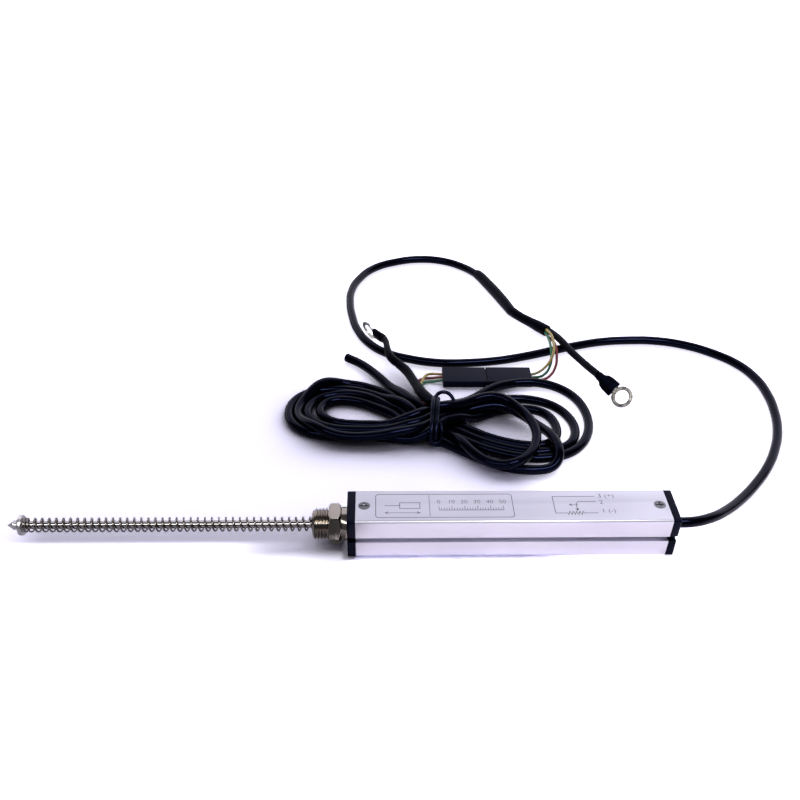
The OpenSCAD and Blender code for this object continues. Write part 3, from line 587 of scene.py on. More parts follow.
@dataclass
class Marking(SubAssembly):
    """Etched lines and numbers: a framed travel scale, and the potentiometer's circuit with pin numbers."""

    line: float = 0.22
    fine: float = 0.18
    bold: float = 0.3
    overrun: float = 0.8
    thickness: float = 0.03
    digit_h: float = 2.6
    font_size: float = 1.35
    font_thinning: float = 0.02
    frame_low: Pair = (12.5, -6.6)
    frame_high: Pair = (63.6, 6.4)
    frame_corner: float = 1.2
    corner_steps: int = 6
    divider_x: float = 32.5
    divider_dots: int = 12
    scale_x: Pair = (36.0, 60.0)
    scale_y: float = -2.6
    ticks: int = 25
    tick_step: int = 2
    numbered: int = 5
    tick_h: Pair = (1.2, 2.2)
    number_y: float = 2.0
    number_size: float = 0.8
    number_shift: Pair = (0.7, 1.5)
    sign_x: float = 15.9
    sign_body: Pair = (5.5, 13.0)
    sign_r: float = 1.6
    arrow_y: float = -4.0
    arrow_head: Pair = (1.2, 0.6)
    circuit_x: float = 79.0
    circuit_ends: Pair = (94.9, 94.7)
    circuit_y: Pair = (4.9, -4.5)
    zigzag_x: Pair = (83.4, 89.6)
    zigzag_r: float = 0.9
    teeth: int = 5
    wiper_x: float = 87.4
    wiper_y: float = 1.9
    wiper_bend: float = 0.6
    wiper_run: float = 0.9
    wiper_gap: Pair = (1.6, 1.5)
    wiper_head: Pair = (0.5, 2.4)
    output_x: Pair = (0.6, 2.6)
    output_y: float = 0.1
    output_head: Pair = (1.8, 0.5)
    pin_size: float = 0.9
    pin_x: float = 96.2
    pins: tuple[tuple[str, float], ...] = (("3 (+)", 5.1), ("2", 1.6), ("1 (-)", -3.4))

    def stroke(self, edit: Edit, points: Sequence[Pair], line: float = 0.0) -> None:
        """Adds a flat line through points on the housing's top.

        Args:
            edit: the mesh that collects the marking.
            points: X and Y in millimetres.
            line: the line's width in millimetres, or 0 for the usual one.
        """
        width = line or self.line
        for (x0, y0), (x1, y1) in zip(points, points[1:]):
            length = math.hypot(x1 - x0, y1 - y0) + width * self.overrun
            place = (
                Matrix.Translation(((x0 + x1) / 2 * MM, (y0 + y1) / 2 * MM, self.datum.top_z * MM))
                @ Matrix.Rotation(math.atan2(y1 - y0, x1 - x0), 4, "Z")
                @ Matrix.Diagonal((length * MM, width * MM, self.thickness * MM, 1.0))
            )
            bmesh.ops.create_cube(edit, size=1.0, matrix=place)

    def digits(self, edit: Edit, text: str, x: float, y: float, height: float) -> None:
        """Adds generic numbers or signs, set out from the left at mid height.

        Args:
            edit: the mesh that collects the marking.
            text: the numbers or signs.
            x: the left end in millimetres.
            y: the middle's height on the face in millimetres.
            height: the size of the numbers in millimetres.
        """
        face = bpy.data.curves.new("digits", "FONT")
        face.body = text
        face.size = height * self.font_size * MM
        face.align_y = "CENTER"
        face.offset = -self.font_thinning * height * MM
        face.extrude = self.thickness / 2 * MM
        holder = bpy.data.objects.new("digits", face)
        bpy.context.scene.collection.objects.link(holder)
        shape = bpy.data.meshes.new_from_object(holder.evaluated_get(bpy.context.evaluated_depsgraph_get()))
        shape.transform(Matrix.Translation((x * MM, y * MM, self.datum.top_z * MM)))
        edit.from_mesh(shape)
        bpy.data.meshes.remove(shape)
        bpy.data.objects.remove(holder)
        bpy.data.curves.remove(face)

    def frame(self, edit: Edit) -> None:
        """Adds the frame, with a quarter circle at each corner, and its dotted divider."""
        (x0, y0), (x1, y1), r = self.frame_low, self.frame_high, self.frame_corner
        points = []
        centres = [(x1 - r, y1 - r), (x0 + r, y1 - r), (x0 + r, y0 + r), (x1 - r, y0 + r)]
        for turn, (cx, cy) in enumerate(centres):
            for step in range(self.corner_steps + 1):
                angle = math.radians(90 * (turn + step / self.corner_steps))
                points.append((cx + r * math.cos(angle), cy + r * math.sin(angle)))
        self.stroke(edit, [*points, points[0]])
        half_dot = self.bold / 2
        for y in np.linspace(y0 + 1, y1 - 1, self.divider_dots).tolist():
            self.stroke(edit, [(self.divider_x, y - half_dot), (self.divider_x, y + half_dot)], self.bold)

    def scale(self, edit: Edit) -> None:
        """Adds a travel scale with its numbers, from 0 to 50."""
        x0, x1 = self.scale_x
        y = self.scale_y
        self.stroke(edit, [(x0, y), (x1, y)])
        for k in range(self.ticks + 1):
            x = x0 + (x1 - x0) * k / self.ticks
            has_number = k % self.numbered == 0
            self.stroke(edit, [(x, y), (x, y + self.tick_h[has_number])], self.fine)
            if has_number:
                text, shift = str(self.tick_step * k), self.number_shift[k > 0]
                self.digits(edit, text, x - shift, self.number_y, self.digit_h * self.number_size)

    def sign(self, edit: Edit) -> None:
        """Adds the sensor's outline sign in the frame's left field: a body, a rod and a double arrow."""
        left, r = self.sign_x, self.sign_r
        x0, x1 = left + self.sign_body[0], left + self.sign_body[1]
        self.stroke(edit, [(x0, -r), (x1, -r), (x1, r), (x0, r), (x0, -r)])
        self.stroke(edit, [(left, 0), (x0, 0)])
        y, (length, half) = self.arrow_y, self.arrow_head
        self.stroke(edit, [(left, y), (x1, y)], self.fine)
        for x, inner in ((left, left + length), (x1, x1 - length)):
            self.stroke(edit, [(inner, y + half), (x, y), (inner, y - half)], self.fine)

    def circuit(self, edit: Edit) -> None:
        """Adds the circuit: resistor line, supply line and wiper arrow, with the pin numbers."""
        top, low = self.circuit_y
        x, (z0, z1), (top_end, low_end) = self.circuit_x, self.zigzag_x, self.circuit_ends
        self.stroke(edit, [(top_end, top), (x, top), (x, low), (z0, low)])
        zigzag = [(z0, low)]
        for k in range(2 * self.teeth):
            side = self.zigzag_r if k % 2 else -self.zigzag_r
            zigzag.append((z0 + (k + 0.5) * (z1 - z0) / (2 * self.teeth), low + side))
        self.stroke(edit, [*zigzag, (z1, low)])
        self.stroke(edit, [(z1, low), (low_end, low)])
        x, bend, y = self.wiper_x, self.wiper_bend, self.wiper_y
        (shaft, tip), (half, back) = self.wiper_gap, self.wiper_head
        self.stroke(edit, [(top_end, y), (x + self.wiper_run, y), (x, bend)])
        self.stroke(edit, [(x, bend), (x, low + shaft)])
        self.stroke(edit, [(x - half, low + back), (x, low + tip), (x + half, low + back)], self.bold)
        y, (inner, outer), (back, half) = self.output_y, self.output_x, self.output_head
        self.stroke(edit, [(x + inner, y), (x - outer, y)])
        self.stroke(edit, [(x - back, y + half), (x - outer, y), (x - back, y - half)])
        for text, y in self.pins:
            self.digits(edit, text, self.pin_x, y, self.digit_h * self.pin_size)

    def build(self) -> None:
        """Makes the marking as one piece."""
        edit = bmesh.new()
        for part in (self.frame, self.scale, self.sign, self.circuit):
            part(edit)
        self.fit(finished("etched_marking", edit), ETCHED, "anodised_aluminium")


@dataclass
class MountingBush(SubAssembly):
    """Turned bush with its rolled thread, plain bearing and retaining ring."""

    thread_d: float = 12.0
    pitch: float = 1.25
    thread_depth: float = 0.85
    thread_length: float = 10.8
    flank: float = 0.47
    crest: float = 0.1
    sunk: float = 0.05
    lead: float = 0.35
    bare: float = 1.5
    run_in: float = 0.3
    run_out: float = 0.9
    steps: int = 48
    relief_w: float = 0.8
    relief_depth: float = 0.25
    edge: float = 0.3
    collar_d: float = 12.9
    collar_t: float = 2.2
    shank_d: float = 7.0
    pocket_d: float = 6.3
    pocket_depth: float = 5.0
    bore_d: float = 3.6

    def core(self) -> Piece:
        """Spins the bush's body, with the thread's root as its front part and a relief before the collar."""
        x, edge = self.datum.bush_face_x, self.edge
        root = self.thread_d / 2 - self.thread_depth
        relief_r = root - self.relief_depth
        collar_x, collar_r = x + self.thread_length, self.collar_d / 2
        collar_end, pocket_end = collar_x + self.collar_t, x + self.pocket_depth
        end_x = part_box("threaded_bush")[1].x / MM
        outline = [
            (x, self.pocket_d / 2 + edge), (x, root - edge), (x + edge, root),
            (collar_x - self.relief_w, root), (collar_x - self.relief_w + edge, relief_r),
            (collar_x, relief_r), (collar_x, collar_r - edge),
            (collar_x + 0.12 * edge, collar_r - 0.5 * edge), (collar_x + edge, collar_r),
            (collar_end, collar_r), (collar_end, self.shank_d / 2), (end_x, self.shank_d / 2),
            (end_x, self.bore_d / 2), (pocket_end, self.bore_d / 2), (pocket_end, self.pocket_d / 2),
            (x + edge, self.pocket_d / 2),
        ]
        return lathe("bush_body", outline, self.datum.axis_z, 2 * self.steps)

    def thread(self) -> Piece:
        """Winds the thread's ridge round the root, running out into it at both ends."""
        tip = self.thread_d / 2
        root = tip - self.thread_depth - self.sunk
        flank, crest = self.pitch * self.flank, self.pitch * self.crest
        height = self.datum.axis_z
        start = self.datum.bush_face_x + self.lead
        turns = (self.thread_length - self.bare) / self.pitch
        end = start + turns * self.pitch
        edit = bmesh.new()
        corners = [
            edit.verts.new(((start + dx) * MM, 0.0, (height + r) * MM))
            for dx, r in ((-flank, root), (-crest, tip), (crest, tip), (flank, root))
        ]
        bmesh.ops.spin(
            edit, geom=[edit.faces.new(corners)], cent=(0.0, 0.0, height * MM), axis=(1.0, 0.0, 0.0),
            dvec=(self.pitch / self.steps * MM, 0.0, 0.0), angle=math.tau * turns,
            steps=round(turns * self.steps), use_duplicate=False,
        )
        axis = Vector((0.0, 0.0, height * MM))
        for vert in edit.verts:
            arm = Vector((0.0, vert.co.y, vert.co.z)) - axis
            x = vert.co.x / MM
            rise = (min(x - start, end - x) + self.run_in) / self.run_out
            limit = root + (tip - root) * min(max(rise, 0.0), 1.0)
            if arm.length / MM > limit:
                vert.co = Vector((vert.co.x, 0.0, 0.0)) + axis + arm.normalized() * limit * MM
        return finished("thread_ridge", edit, SMOOTH_THREAD_BELOW)

    def build(self) -> None:
        """Makes the bush and dresses the bearing and the ring."""
        self.fit(self.core(), NICKEL, "nickel_plate", "threaded_bush")
        self.fit(self.thread(), NICKEL, "nickel_plate", "threaded_bush")
        self.keep("guide_bearing", BRONZE)
        self.keep("bush_clip", SPRING_WIRE)


@dataclass
class MountingNut(SubAssembly):
    """Thin hexagon nut on the bush."""

    edge: float = 0.12

    def build(self) -> None:
        """Makes the nut from the CAD nut, with broken edges."""
        nut = refined_copy("mounting_nut", "hexagon_nut", self.edge)
        self.fit(nut, NICKEL, "nickel_plate", "mounting_nut")


@dataclass
class PushRod(SubAssembly):
    """Rod, contact tip and spring seat, and the slider train on its inner end."""

    rod_d: float = 3.0
    tip_d: float = 3.7
    cone: float = 2.6
    point_r: float = 0.15
    point_h: float = 0.02
    edge: float = 0.12
    edge_drop: Pair = (0.08, 0.05)
    undercut: float = 0.25
    neck: float = 1.9
    seat_d: float = 7.7
    seat_t: float = 1.5
    rim: float = 0.3
    rim_bulge: float = 0.3

    def build(self) -> None:
        """Makes the turned pieces and dresses the train inside the housing."""
        z = self.datum.axis_z
        tip_x = self.datum.tip_x
        neck_x = tip_x + self.cone
        rod_x = neck_x + self.neck
        rod_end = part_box("push_rod")[1].x / MM
        rod_r, tip_r, seat_r = self.rod_d / 2, self.tip_d / 2, self.seat_d / 2
        edge, (drop, back_drop) = self.edge, self.edge_drop
        tip = lathe(
            "cone_point",
            [
                (tip_x, 0.0), (tip_x + self.point_h, self.point_r * 0.7), (tip_x + edge, self.point_r * 1.3),
                (neck_x - edge, tip_r - drop), (neck_x, tip_r), (neck_x + edge, tip_r - back_drop),
                (neck_x + self.undercut, rod_r), (rod_x, rod_r), (rod_x, 0.0),
            ],
            z,
        )
        # The tip and the seat wear zinc plate whose colour is painted brighter, standing in for the light
        # they catch
        self.fit(tip, ZINC_PAINTED_BRIGHT, "polished_steel", "contact_tip")
        rim, bulge = self.rim, self.rim * self.rim_bulge
        rod = lathe(
            "ground_rod",
            [(rod_x, 0.0), (rod_x, rod_r), (rod_end - rim, rod_r), (rod_end, rod_r - rim), (rod_end, 0.0)],
            z,
        )
        self.fit(rod, GROUND_STEEL, "polished_steel", "push_rod")
        rear_x = rod_x + self.seat_t
        seat = lathe(
            "turned_spring_seat",
            [
                (rod_x, rod_r), (rod_x, seat_r - rim), (rod_x + bulge, seat_r - bulge),
                (rod_x + rim, seat_r), (rear_x - rim, seat_r), (rear_x - bulge, seat_r - bulge),
                (rear_x, seat_r - rim), (rear_x, rod_r),
            ],
            z,
        )
        self.fit(seat, ZINC_PAINTED_BRIGHT, "polished_steel", "spring_seat")
        self.keep("slider_block", ACETAL)
        self.keep("rod_pin", SPRING_WIRE)
        self.keep("wiper_brush", GOLD)


@dataclass
class ReturnSpring(SubAssembly):
    """Round-wire compression spring with one closed turn at each end; it is wound at one length and does not
    shorten as the rod moves in.
    """

    wire: float = 0.7
    closed_pitch: float = 1.1
    turns: int = 44
    steps: int = 24
    travel: float = 50.0

    def build(self) -> None:
        """Winds the spring between its CAD node's ends."""
        low, high = (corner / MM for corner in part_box("return_spring"))
        radius = (high.y - low.y) / 2 - self.wire / 2
        closed = self.wire * self.closed_pitch
        x0, x1 = low.x + self.wire / 2, high.x - self.wire / 2
        open_pitch = (x1 - x0 - 2 * closed) / (self.turns - 2)
        route = []
        for k in range(self.turns * self.steps + 1):
            turn = k / self.steps
            advance = closed * (min(turn, 1) + max(turn - self.turns + 1, 0))
            advance += open_pitch * min(max(turn - 1, 0), self.turns - 2)
            angle = math.tau * turn
            height = self.datum.axis_z + radius * math.sin(angle)
            route.append((x0 + advance, radius * math.cos(angle), height))
        spring = as_mesh([tube("coil", route, self.wire, along=1, around=2)], "coil_spring")
        self.fit(spring, SPRING_WIRE, "spring_steel", "return_spring")
        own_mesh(spring)


@dataclass
class Element(SubAssembly):
    """Sensing element and cable anchorage inside the housing; CAD holds their shapes."""

    def build(self) -> None:
        """Dresses the inner nodes."""
        finishes = {
            "element_board": LAMINATE,
            "resistive_track": CARBON,
            "collector_track": SILVER,
            "solder_pins": SILVER,
            "inner_leads": CORE_RED,
            "cable_grip": TUMBLED,
        }
        for node, finish in finishes.items():
            self.keep(node, finish)


@dataclass
class RingTerminal(SubAssembly):
    """Crimped ring terminal with the flattened shrink sleeve over its barrel.

    Its centre is counted from the cable's exit, and its turns are degrees.
    """

    letter: str = "a"
    centre: Point = (0.0, 0.0, 0.0)
    heading: float = 0.0
    rise: float = 0.0
    roll: float = 0.0
    sleeve_end: float = 12.0
    metal: Finish = TINNED
    ring_d: float = 9.8
    ring_edge: float = 0.12
    lead_d: float = 3.5
    flare_w: float = 7.8
    flare_h: float = 3.2
    sleeve_wall: float = 0.3
    sides: int = 28

    def stand(self) -> Matrix:
        """Turns the terminal's own frame, in metres, into the part's."""
        return (
            Matrix.Translation(Vector(shifted([self.centre], self.datum.exit_x)[0]) * MM)
            @ Matrix.Rotation(math.radians(self.heading), 4, "Z")
            @ Matrix.Rotation(math.radians(-self.rise), 4, "Y")
            @ Matrix.Rotation(math.radians(self.roll), 4, "X")
        )

    def sleeve(self) -> Piece:
        """Lofts the sleeve from its flat mouth to the round lead, with a rolled lip at the mouth."""
        start = self.ring_d / 2 + 0.1
        reach = self.sleeve_end - start
        neck = self.lead_d + 2 * self.sleeve_wall
        wide, high = self.flare_w, self.flare_h
        stations = [
            (start + 0.9, wide * 0.80, high * 0.62), (start + 0.05, wide * 0.92, high * 0.80),
            (start, wide * 0.97, high * 0.92), (start + 0.35, wide, high),
            (start + 0.22 * reach, wide * 0.97, high * 1.02),
            (start + 0.45 * reach, wide * 0.94, high * 1.1),
            (start + 0.64 * reach, wide * 0.84, high * 1.12),
            (start + 0.73 * reach, neck * 1.2, neck * 1.04),
            (start + 0.82 * reach, neck * 0.99, neck * 0.98), (start + 0.9 * reach, neck, neck),
            (self.sleeve_end, neck * 0.98, neck * 0.98),
        ]
        edit = bmesh.new()
        quarter = Matrix.Rotation(math.radians(90), 4, "Y")
        bmesh.ops.create_circle(edit, segments=self.sides, radius=0.5 * MM, cap_ends=True, matrix=quarter)
        loop, edges = edit.verts[:], edit.edges[:]
        width, height, x = 1.0, 1.0, 0.0
        for index, (next_x, next_w, next_h) in enumerate(stations):
            if index:
                grown = bmesh.ops.extrude_edge_only(edit, edges=edges)["geom"]
                loop = [item for item in grown if isinstance(item, bmesh.types.BMVert)]
                edges = [item for item in grown if isinstance(item, bmesh.types.BMEdge)]
            bmesh.ops.scale(edit, verts=loop, vec=(1.0, next_w / width, next_h / height))
            bmesh.ops.translate(edit, verts=loop, vec=((next_x - x) * MM, 0.0, 0.0))
            width, height, x = next_w, next_h, next_x
        bmesh.ops.holes_fill(edit, edges=edges)
        bmesh.ops.transform(edit, matrix=self.stand(), verts=edit.verts)
        return finished(f"terminal_shrink_{self.letter}", edit, SMOOTH_CORD_BELOW)

    def build(self) -> tuple[Piece, Piece]:
        """Makes the ring and its sleeve.

        Returns:
            The ring and the sleeve.
        """
        ring = refined_copy(f"ring_terminal_{self.letter}", f"tinned_ring_{self.letter}", self.ring_edge, 3)
        self.fit(ring, self.metal, "tinned_copper", f"ring_terminal_{self.letter}")
        sleeve = self.sleeve()
        self.fit(sleeve, SHRINK, "shrink_sleeve", f"terminal_sleeve_{self.letter}")
        return ring, sleeve


@dataclass
class CordWork(SubAssembly):
    """Anything that lays cables and wires."""

    cable_d: float = 4.2
    core_d: float = 1.3
    lead_d: float = 3.5

    def lay(
        self,
        name: str,
        route: Sequence[Point],
        diameter: float,
        length: float,
        finish: Finish,
        slot: str,
        nodes: Sequence[str],
        far_end: FarEnd,
        pieces: Sequence[Piece | str] = (),
        stiffness: Stiffness = Stiffness.MEDIUM,
        lay: Lay = Lay.LOOSE,
        exit_index: int = 0,
        along: int = 8,
    ) -> Piece:
        """Args:
            name: the cord's name.
            route: its points from the cable's exit, in millimetres.
            diameter: its diameter in millimetres.
            length: its real length in millimetres; not used.
            finish: its surface.
            slot: the record's material slot; not used.
            nodes: the CAD nodes that it stands for.
            far_end: what it ends in; not used.
            pieces: the separate pieces on it; not used.
            stiffness: how it bends; not used.
            lay: how it lies; not used.
            exit_index: the route's point where it leaves what holds it; not used.
            along: the steps between two points.

        Returns:
            The cord.
        """
        points = shifted(route, self.datum.exit_x)
        cord = tube(name, points, diameter, along=along)
        self.fit(cord, finish, slot, *nodes)
        return cord

    def shrink(
        self, name: str, route: Sequence[Point], diameter: float, swell: Sequence[float], node: str
    ) -> Piece:
        """Shrinks a sleeve over a route.

        Args:
            name: the sleeve's name.
            route: its points from the cable's exit, in millimetres.
            diameter: its diameter in millimetres.
            swell: the diameter's factor at each point.
            node: the CAD node that it stands for.

        Returns:
            The sleeve.
        """
        sleeve = as_mesh([tube(name, shifted(route, self.datum.exit_x), diameter, swell)], name + "_skin")
        return self.fit(sleeve, SHRINK, "shrink_sleeve", node)


CORE_FINISHES = {"green": CORE_GREEN, "yellow": CORE_YELLOW, "red": CORE_RED}


@dataclass
class PlugConnection(CordWork):
    """Mated plug and socket of the three cores."""

    edge: float = 0.3

    def build(self) -> tuple[Piece, Piece]:
        """Makes both bodies and dresses their contacts.

        Returns:
            The plug and the socket.
        """
        bodies = []
        for half in ("plug", "socket"):
            body = refined_copy(f"connector_{half}", f"{half}_body", self.edge, 3)
            bodies.append(self.fit(body, CONNECTOR, "connector_plastic", f"connector_{half}"))
            self.keep(f"{half}_contacts", GOLD)
        return bodies[0], bodies[1]


@dataclass
class SensorCable(CordWork):
    """Cable from the rear cap to the split, its three cores to the plug and its shield lead to ring A."""

    length: float = 525.0
    lead_length: float = 53.0
    sleeve_d: float = 5.6
    floor: float = 2.1

    def route(self) -> list[Point]:
        """Lists the cable's points: out of the cap, down to the ground, and round in an open loop."""
        z = self.floor
        flat = [
            (53, 42), (60.5, 54.5), (66.5, 68.5), (70, 82.5), (71.5, 96.5), (70.5, 110), (65.5, 123),
            (56, 133.5), (43.5, 141.5), (30, 145.5), (16, 146), (2, 144.5), (-12, 140.5), (-25.5, 135.5),
            (-39, 130.5), (-53, 126.5), (-67.5, 124.5), (-82, 124.5), (-96, 128), (-108, 134),
            (-116.5, 143.5), (-122, 156), (-125, 170), (-126.5, 184.5), (-126, 199), (-122, 213),
            (-113.5, 226.5), (-101, 234.5), (-87, 238), (-73, 235.5),
        ]
        out = [
            (-12, 0, 9), (0, 0, 9), (8, 0.4, 8.8), (16, 3.8, 7.6), (25, 10.8, 5.2), (34.5, 20, 3.2),
            (44, 30.5, 2.2),
        ]
        return [*out, *((x, y, z) for x, y in flat), (-62, 227.5, 2.2), (-54.5, 217, 2.6)]

    def build(self, plug: Piece, ring: Piece, ring_sleeve: Piece) -> None:
        """Lays the cable, its sleeves, its cores and its shield lead.

        Args:
            plug: the plug's body.
            ring: ring A.
            ring_sleeve: the sleeve on ring A.
        """
        end_sleeve = self.shrink(
            "cable_end_shrink",
            [(-55.4, 218.6, 2.6), (-54.4, 216.8, 2.8), (-50.6, 207, 2.8), (-46.6, 195, 3),
             (-43.2, 183.5, 3.2), (-40.6, 174, 3.4)],
            self.sleeve_d,
            [0.84, 0.96, 1.0, 1.02, 1.0, 0.9],
            "cable_sleeve",
        )
        split_sleeve = self.shrink(
            "core_split_shrink",
            [(-41.4, 175.6, 3.3), (-40.5, 173.8, 3.4), (-36.2, 167.2, 3.4), (-32, 162.2, 3.4),
             (-28.4, 157.8, 3.4), (-24.7, 153.2, 3.4)],
            self.sleeve_d,
            [0.86, 0.9, 0.86, 0.9, 1.02, 1.04],
            "split_sleeve",
        )
        self.lay(
            "sensor_side_cable", self.route(), self.cable_d, self.length, SHEATH, "cable_jacket",
            ["sensor_cable"], FarEnd.FITTING, [end_sleeve, split_sleeve], exit_index=1,
        )
        cores = {
            "green": (47.8, [
                (-25.7, 151.8, 3.4), (-25.6, 143, 5.2), (-25.8, 135, 5.9), (-26.3, 127.5, 4.9),
                (-27.6, 121, 3.2), (-30.4, 116, 1.6), (-34, 113.2, 1.3), (-37.4, 112.3, 1.65),
                (-39.7, 112.3, 1.7),
            ]),
            "yellow": (46.3, [
                (-25.2, 152, 4.8), (-24.2, 143, 6.8), (-24.4, 135, 7.4), (-25.4, 127.5, 6.7),
                (-27.4, 122.4, 5.2), (-30.6, 118.4, 3.4), (-34.4, 115.8, 2.1), (-37.4, 114.85, 1.7),
                (-39.7, 114.85, 1.7),
            ]),
            "red": (52.2, [
                (-25.2, 152, 2), (-24, 144, 4), (-23.1, 135.5, 5.4), (-23.6, 127.5, 4.4),
                (-25, 120.5, 2.7), (-28.2, 114.8, 1.2), (-32.6, 111, 1.1), (-37.4, 109.75, 1.65),
                (-39.7, 109.75, 1.7),
            ]),
        }
        for colour, (length, route) in cores.items():
            self.lay(
                f"plug_core_{colour}", route, self.core_d, length, CORE_FINISHES[colour], f"core_{colour}",
                [f"core_a_{colour}"], FarEnd.CONNECTOR, [plug], Stiffness.LIMP,
            )
        self.lay(
            "shield_lead_to_ring_a",
            [(-23.5, 153.1, 3.4), (-21.4, 145, 5.2), (-19.4, 137, 6.3), (-17, 128, 6.7),
             (-14.3, 119.5, 7.4), (-11.6, 111, 8.3), (-8.6, 102.7, 9.1)],
            self.lead_d, self.lead_length, SHRINK, "shrink_sleeve", ["shield_lead_a"], FarEnd.FITTING,
            [ring_sleeve, ring],
        )


class Side(Enum):
    """The two sides of the hank, seen from the sensor: its left and right lobes."""

    LEFT = -1
    RIGHT = 1


Crossing = tuple[Pair | None, Pair, Pair]


@dataclass
class HankWinding:
    """How the extension cable is wound: a flat figure of eight, whose strands pass the tie ten times.

    Strands that climb from the left lobe's front to the right lobe's back lie over those that go down.
    """

    cable_d: float
    across_x: tuple[float, float, float] = (-92.5, -86.5, -80.5)
    across: tuple[Crossing, ...] = (
        (None, (76.2, 9.9), (76.5, 10.4)), ((71.3, 2.2), (67, 2.3), (62.3, 4.3)),
        ((69.5, 6.4), (74.4, 6.4), (79.6, 6.3)), ((78.8, 2.2), (75.3, 2.2), (71.3, 2.2)),
        ((65.8, 5.6), (70.1, 6.4), (75.6, 6.5)), ((67, 2.2), (62.8, 2.2), (59.2, 2.2)),
        ((73.8, 6.3), (78.7, 6.3), (83.6, 6)), ((75.3, 2.2), (71.1, 2.2), (67, 2.2)),
        ((63.6, 2.6), (65.8, 6.4), (71.5, 6.6)), ((81.5, 5), (79.5, 2.3), (75.4, 2.2)),
    )
    step: float = 3.5
    cuts: int = 10
    rounds: int = 260
    look_every: int = 8
    look_within: float = 1.8
    own_reach: float = 2.6
    spacing: float = 1.02
    push: float = 0.4
    soften: float = 0.5
    pull: float = 0.04
    late_pull: float = 0.01
    late_from: float = 0.6
    upward_pull: float = 0.3
    sink: float = 0.02
    lead_in: tuple[Point, ...] = ((-86.8, 81.9, 7.4), (-86, 78.4, 8.9))
    tail: tuple[Point, ...] = (
        (-97.7, 88.3, 5.6), (-102.2, 95.8, 5), (-106.8, 104.6, 4.4), (-111, 111.5, 3.6),
        (-115.5, 118, 2.5), (-120.5, 124, 2.1), (-127, 129.5, 2.1),
    )

    def loops(self) -> list[list[Point]]:
        """Lists the loops in the order of winding, right and left by turns."""
        return [
            [(-70, 81.5, 10.5), (-57, 84, 10.5), (-46, 72, 10.5), (-43.5, 56, 9.5), (-52.5, 41.5, 6.6),
             (-58, 40.5, 6.4), (-63.5, 42, 6.2), (-69, 47, 5.6), (-75, 53, 5.2)],
            [(-98, 81.5, 2.5), (-107, 88, 4.5), (-124.5, 96, 5.5), (-139.5, 93.5, 4), (-144.5, 82, 4),
             (-133, 70.5, 4.5), (-112.5, 69, 5), (-97, 68.5, 6.3)],
            [(-70, 85.5, 3), (-51.5, 93, 2), (-33, 89, 2), (-24.5, 74, 2), (-28, 58.5, 2),
             (-42, 52.5, 2), (-59, 57, 2), (-70, 63, 2.2)],
            [(-98, 86, 3), (-116, 102.5, 4.5), (-128, 105, 4.4), (-139, 99.5, 4.6), (-145.5, 89.5, 5),
             (-147, 77, 5), (-134.5, 63.5, 6), (-113, 61.5, 6.5), (-97, 63.5, 6.5)],
            [(-70, 79.5, 7), (-54, 83, 6.5), (-40.5, 69.5, 6.5), (-35.5, 53, 6.5), (-38, 42, 3),
             (-55.5, 41.5, 2.1), (-63, 44.5, 2.1), (-69, 48, 2.1), (-75, 54, 2.1)],
            [(-99, 77.5, 2.2), (-112.5, 88, 2), (-131, 93, 2), (-138.5, 84.5, 2), (-131.5, 75, 2),
             (-112.5, 73, 2.5), (-97, 73.5, 6)],
            [(-70, 90, 6), (-53.5, 104, 5.5), (-34, 106.5, 3.5), (-20, 94, 2), (-17.5, 72.5, 2),
             (-25.5, 55.5, 2), (-41.5, 48, 2), (-59.5, 53, 2), (-70, 59.5, 2.2)],
            [(-97, 80, 4), (-107, 92, 2), (-126, 101, 2), (-142, 99, 2), (-151, 89.5, 2), (-150, 75, 2),
             (-135, 65, 2), (-113, 63.5, 2), (-97, 62.5, 2.1)],
            [(-70, 78, 6.5), (-53.5, 84, 3), (-37.5, 83.5, 2), (-32.5, 69.5, 2), (-37.5, 58.5, 2),
             (-50, 58, 2.5), (-60, 60.5, 2.2), (-70, 67, 2.2)],
        ]

    def knots(self) -> tuple[np.ndarray, np.ndarray]:
        """Strings lead-in, crossings, loops and tail together.

        A crossing is the strand's Y and height left of the tie, inside it and right of it.

        Returns:
            The points, and for each whether the relaxing leaves it alone.
        """
        points = [*self.lead_in]
        held = [True] * len(points)
        loops = self.loops()
        side = Side.RIGHT
        for index, crossing in enumerate(self.across):
            places = [(x, *place) for x, place in zip(self.across_x, crossing) if place][::side.value]
            points += places
            held += [place[0] == self.across_x[1] for place in places]
            if index < len(loops):
                points += [(x, y, max(z, self.cable_d / 2)) for x, y, z in loops[index]]
                held += [False] * len(loops[index])
                side = Side(-side.value)
        points += self.tail
        held += [False] * (len(self.tail) - 2) + [True] * 2
        return np.array(points, float), np.array(held, float)

    def spaced(self, knots: np.ndarray, held: np.ndarray) -> tuple[np.ndarray, np.ndarray]:
        """Draws a smooth line through the knots and cuts it into even steps.

        Args:
            knots: the points in millimetres.
            held: 1 for each knot that stays in place.

        Returns:
            The even points, and for each whether it stays in place.
        """
        padded = np.vstack([2 * knots[0] - knots[1], knots, 2 * knots[-1] - knots[-2]])
        fine = []
        for i in range(1, len(padded) - 2):
            p0, p1, p2, p3 = padded[i - 1:i + 3]
            for t in np.arange(self.cuts) / self.cuts:
                cubic = (2 * p0 - 5 * p1 + 4 * p2 - p3) * t**2 + (3 * p1 - p0 - 3 * p2 + p3) * t**3
                fine.append(0.5 * (2 * p1 + (p2 - p0) * t + cubic))
        line = np.array([*fine, knots[-1]])
        weight = np.append(np.repeat(held[:-1], self.cuts), held[-1])
        reach = np.concatenate([[0.0], np.cumsum(np.linalg.norm(np.diff(line, axis=0), axis=1))])
        even = np.linspace(0, reach[-1], round(reach[-1] / self.step) + 1)
        points = np.stack([np.interp(even, reach, line[:, k]) for k in range(3)], axis=1)
        return points, np.interp(even, reach, weight) > 0.5

